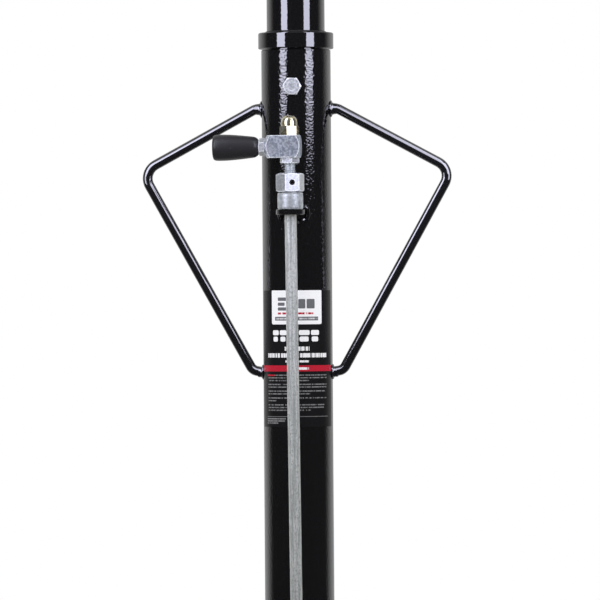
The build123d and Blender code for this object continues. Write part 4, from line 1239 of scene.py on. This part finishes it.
def saddle_arm():
    """Bar bent up at its end, with a pressed groove and a rounded pivot end."""
    profile = [
        (0, ARM_BASE), (FINGER_OUT, ARM_BASE), (FINGER_OUT, FINGER_TOP), (FINGER_IN, FINGER_TOP),
        (FINGER_IN, ARM_TOP), (0, ARM_TOP),
    ]
    upright = Matrix(((1, 0, 0, 0), (0, 0, -1, 0), (0, 1, 0, 0), (0, 0, 0, 1)))
    arm = moved(plate(profile, -17, 17, [0, 9, 1, 1, 3.5, 0], 7), upright)
    weld_on(arm, pin(17, ARM_BASE, ARM_TOP, 72))
    rounded = [(-17, 1040), (17, 1040), (17, FINGER_TOP), (-17, FINGER_TOP)]
    rounded = plate(rounded, -40, 130, [0, 0, 9, 9], 8)
    trim(arm, moved(rounded, ON_SIDE))
    groove = plate([(31, -5), (99, -5), (99, 5), (31, 5)], 1055.3, 1070, 4.95, 8)
    cut(arm, groove, pin(5.1, 1040, 1070, 40))
    return eased(arm, 0.8, 3, 28.0)


def finger_pad():
    """Ribbed rubber facing on the inner side of an arm's finger."""
    pad = plate([(-13, 1062), (13, 1062), (13, 1096), (-13, 1096)], 104.6, 107.1, 5.0, 6)
    pad = eased(moved(pad, ON_SIDE), 0.6, 2)
    ribs = []
    for n in range(6):
        rib = block((103.6, 105.0), (-10.5, 10.5), (1065.5 + n * 5, 1067.7 + n * 5))
        ribs.append(eased(rib, 0.5, 2))
    return joined(pad, *ribs)


# ---- studio


PLATED = (ZINC, HUB_ZINC, YELLOW)
UPRIGHT = PLATED + (SMOOTH_PAINT, HANDLE_PAINT, ROD_ZINC, KNURL, GRIP, LABEL, OXIDE, RUBBER)

# name, degrees from the view, foot, top, width and distance in metres, radiance, the finishes it lights
LAMPS = [
    ("left_strip", -46, 0.862, 2.3, 0.386, 0.85, 5.1, UPRIGHT),
    ("right_strip", 44, 0.862, 2.3, 0.367, 0.85, 4.8, UPRIGHT),
    ("left_high", -43, 0.93, 2.3, 0.31, 0.85, 5.1, (PAINT,)),
    ("right_high", 44, 0.93, 2.3, 0.36, 0.85, 4.8, (PAINT,)),
    ("left_low", -43, 0.855, 0.93, 0.31, 0.85, 1.8, (PAINT,)),
    ("right_low", 44, 0.855, 0.93, 0.36, 0.85, 1.8, (PAINT,)),
    ("top_bar", 0, 1.2, 2.35, 1.7, 1.2, 4.8, (HANDLE_PAINT,)),
    ("left_rim", -62, 0.6, 1.7, 0.5, 1.1, 5.0, (HANDLE_PAINT,)),
    ("right_rim", 62, 0.6, 1.7, 0.5, 1.1, 5.0, (HANDLE_PAINT,)),
    ("left_glow", -50, 0.1, 2.6, 0.7, 1.1, 0.85, (CHROME,)),
    ("right_glow", 36, 0.1, 2.6, 0.5, 1.1, 0.8, (CHROME,)),
    ("plating_lamp", 24, 0.3, 1.5, 0.3, 1.1, 2.7, PLATED),
]


def studio_air(scene):
    """White to look at; to a mirror it is dark in front, pale to both sides and brighter overhead."""
    scene.world = bpy.data.worlds.new("studio_air")
    air = Recipe(scene.world)
    air.place = air.node("ShaderNodeTexCoord").output("Generated")
    rays = air.node("ShaderNodeLightPath")
    angle = math.radians(VIEW_ANGLE)
    x, y, z = air.axes()
    ahead = math.cos(angle) * y - math.sin(angle) * x
    sides = air.ease(ahead, 0.1, 0.8) * (1.0 - 0.6 * air.ease(ahead, 0.93, 1.0))
    mirrored = 0.03 + 0.66 * sides + 0.4 * air.ease(z, 0.45, 0.95)
    strength = air.math("MAXIMUM", rays.output("Is Camera Ray"), 0.95)
    strength = strength + rays.output("Is Glossy Ray") * (mirrored - strength)
    shown = air.node("ShaderNodeBackground", None, {"Color": (1.0, 1.0, 1.0), "Strength": strength})
    air.node("ShaderNodeOutputWorld", None, {"Surface": shown.output(0)})


def studio():
    scene = bpy.context.scene
    scene.view_settings.view_transform = "Standard"
    studio_air(scene)
    put_down()
    bpy.ops.mesh.primitive_circle_add(vertices=96, radius=4.6, fill_type="NGON", location=(0, 0, -0.5 * MM))
    floor = bpy.context.object
    floor.name = "studio_floor"
    floor.visible_glossy = False
    pale = Finish("pale_floor", (0.93, 0.93, 0.93), 0.7, 0.0, 0.2)
    pale.rough(0.65 + 0.1 * pale.noise(6.0, 3.0))
    x, y, z = pale.axes()
    far = pale.ease((x * x + y * y) ** 0.5, 0.8, 4.2)
    pale.feed(pale.surface.inputs["Emission Strength"], 0.14)
    pale.feed(pale.surface.inputs["Emission Color"], pale.blend(far, (0.0, 0.0, 0.0), (1.0, 1.0, 1.0)))
    floor.data.materials.append(pale.material)

    for name, angle, low, high, width, reach, light, finishes in LAMPS:
        light_only(softbox(name, VIEW_ANGLE + angle, low, high, width, reach, light), *finishes)


def light_only(lamp, *finishes):
    """Keeps a lamp's light to the pieces with the given finishes."""
    lit = bpy.data.collections.new(lamp.name + "_pieces")
    for piece in bpy.context.scene.objects:
        if piece.type == "MESH" and piece.active_material in finishes:
            lit.objects.link(piece)
    lamp.light_linking.receiver_collection = lit


def softbox(name, angle, low, high, width, reach, radiance):
    """An upright soft light that faces the column; radiance is what a mirror would show of it."""
    lamp = bpy.data.lights.new(name, "AREA")
    lamp.shape = "RECTANGLE"
    lamp.size, lamp.size_y = width, high - low
    lamp.energy = radiance * math.pi * width * (high - low)
    lamp.color = (0.81, 0.81, 1.0)
    holder = bpy.data.objects.new(name, lamp)
    bpy.context.scene.collection.objects.link(holder)
    away = Vector((math.sin(math.radians(angle)), -math.cos(math.radians(angle)), 0))
    holder.location = away * reach + Vector((0, 0, (low + high) / 2))
    holder.rotation_mode = "QUATERNION"
    holder.rotation_quaternion = (-away).to_track_quat("-Z", "Y")
    holder.visible_camera = False
    return holder


def camera():
    data = bpy.data.cameras.new("front_view")
    data.sensor_width = 36.0
    data.lens = 18.0 * VIEW_REACH / (VIEW_WIDTH / 2)
    data.clip_start, data.clip_end = 0.1, 100.0
    holder = bpy.data.objects.new("front_view", data)
    bpy.context.scene.collection.objects.link(holder)
    angle = math.radians(VIEW_ANGLE)
    level = Vector((math.cos(angle), math.sin(angle), 0))
    back = Vector((math.sin(angle), -math.cos(angle), 0))
    plumb = Vector((0, 0, 1))
    roll = math.radians(VIEW_ROLL)
    right = level * math.cos(roll) + plumb * math.sin(roll)
    up = plumb * math.cos(roll) - level * math.sin(roll)
    place = back * VIEW_REACH * MM + right * VIEW_ASIDE * MM
    axes = Matrix((right, up, back)).transposed().to_4x4()
    holder.matrix_world = Matrix.Translation(place + Vector((0, 0, VIEW_HEIGHT * MM))) @ axes
    bpy.context.scene.camera = holder


# ---- all together

column()
filler_plug()
side_handle("left_handle", -1)
side_handle("right_handle", 1)
rating_label()
rod_bracket()
release_gear()
frame_plates()
legs_and_caps()
casters()
pump()
pedal()
saddle()
for node, finish in CARRIED_OVER.items():
    frame["nodes"][node].data.materials.clear()
    frame["nodes"][node].data.materials.append(finish)
studio()
camera()
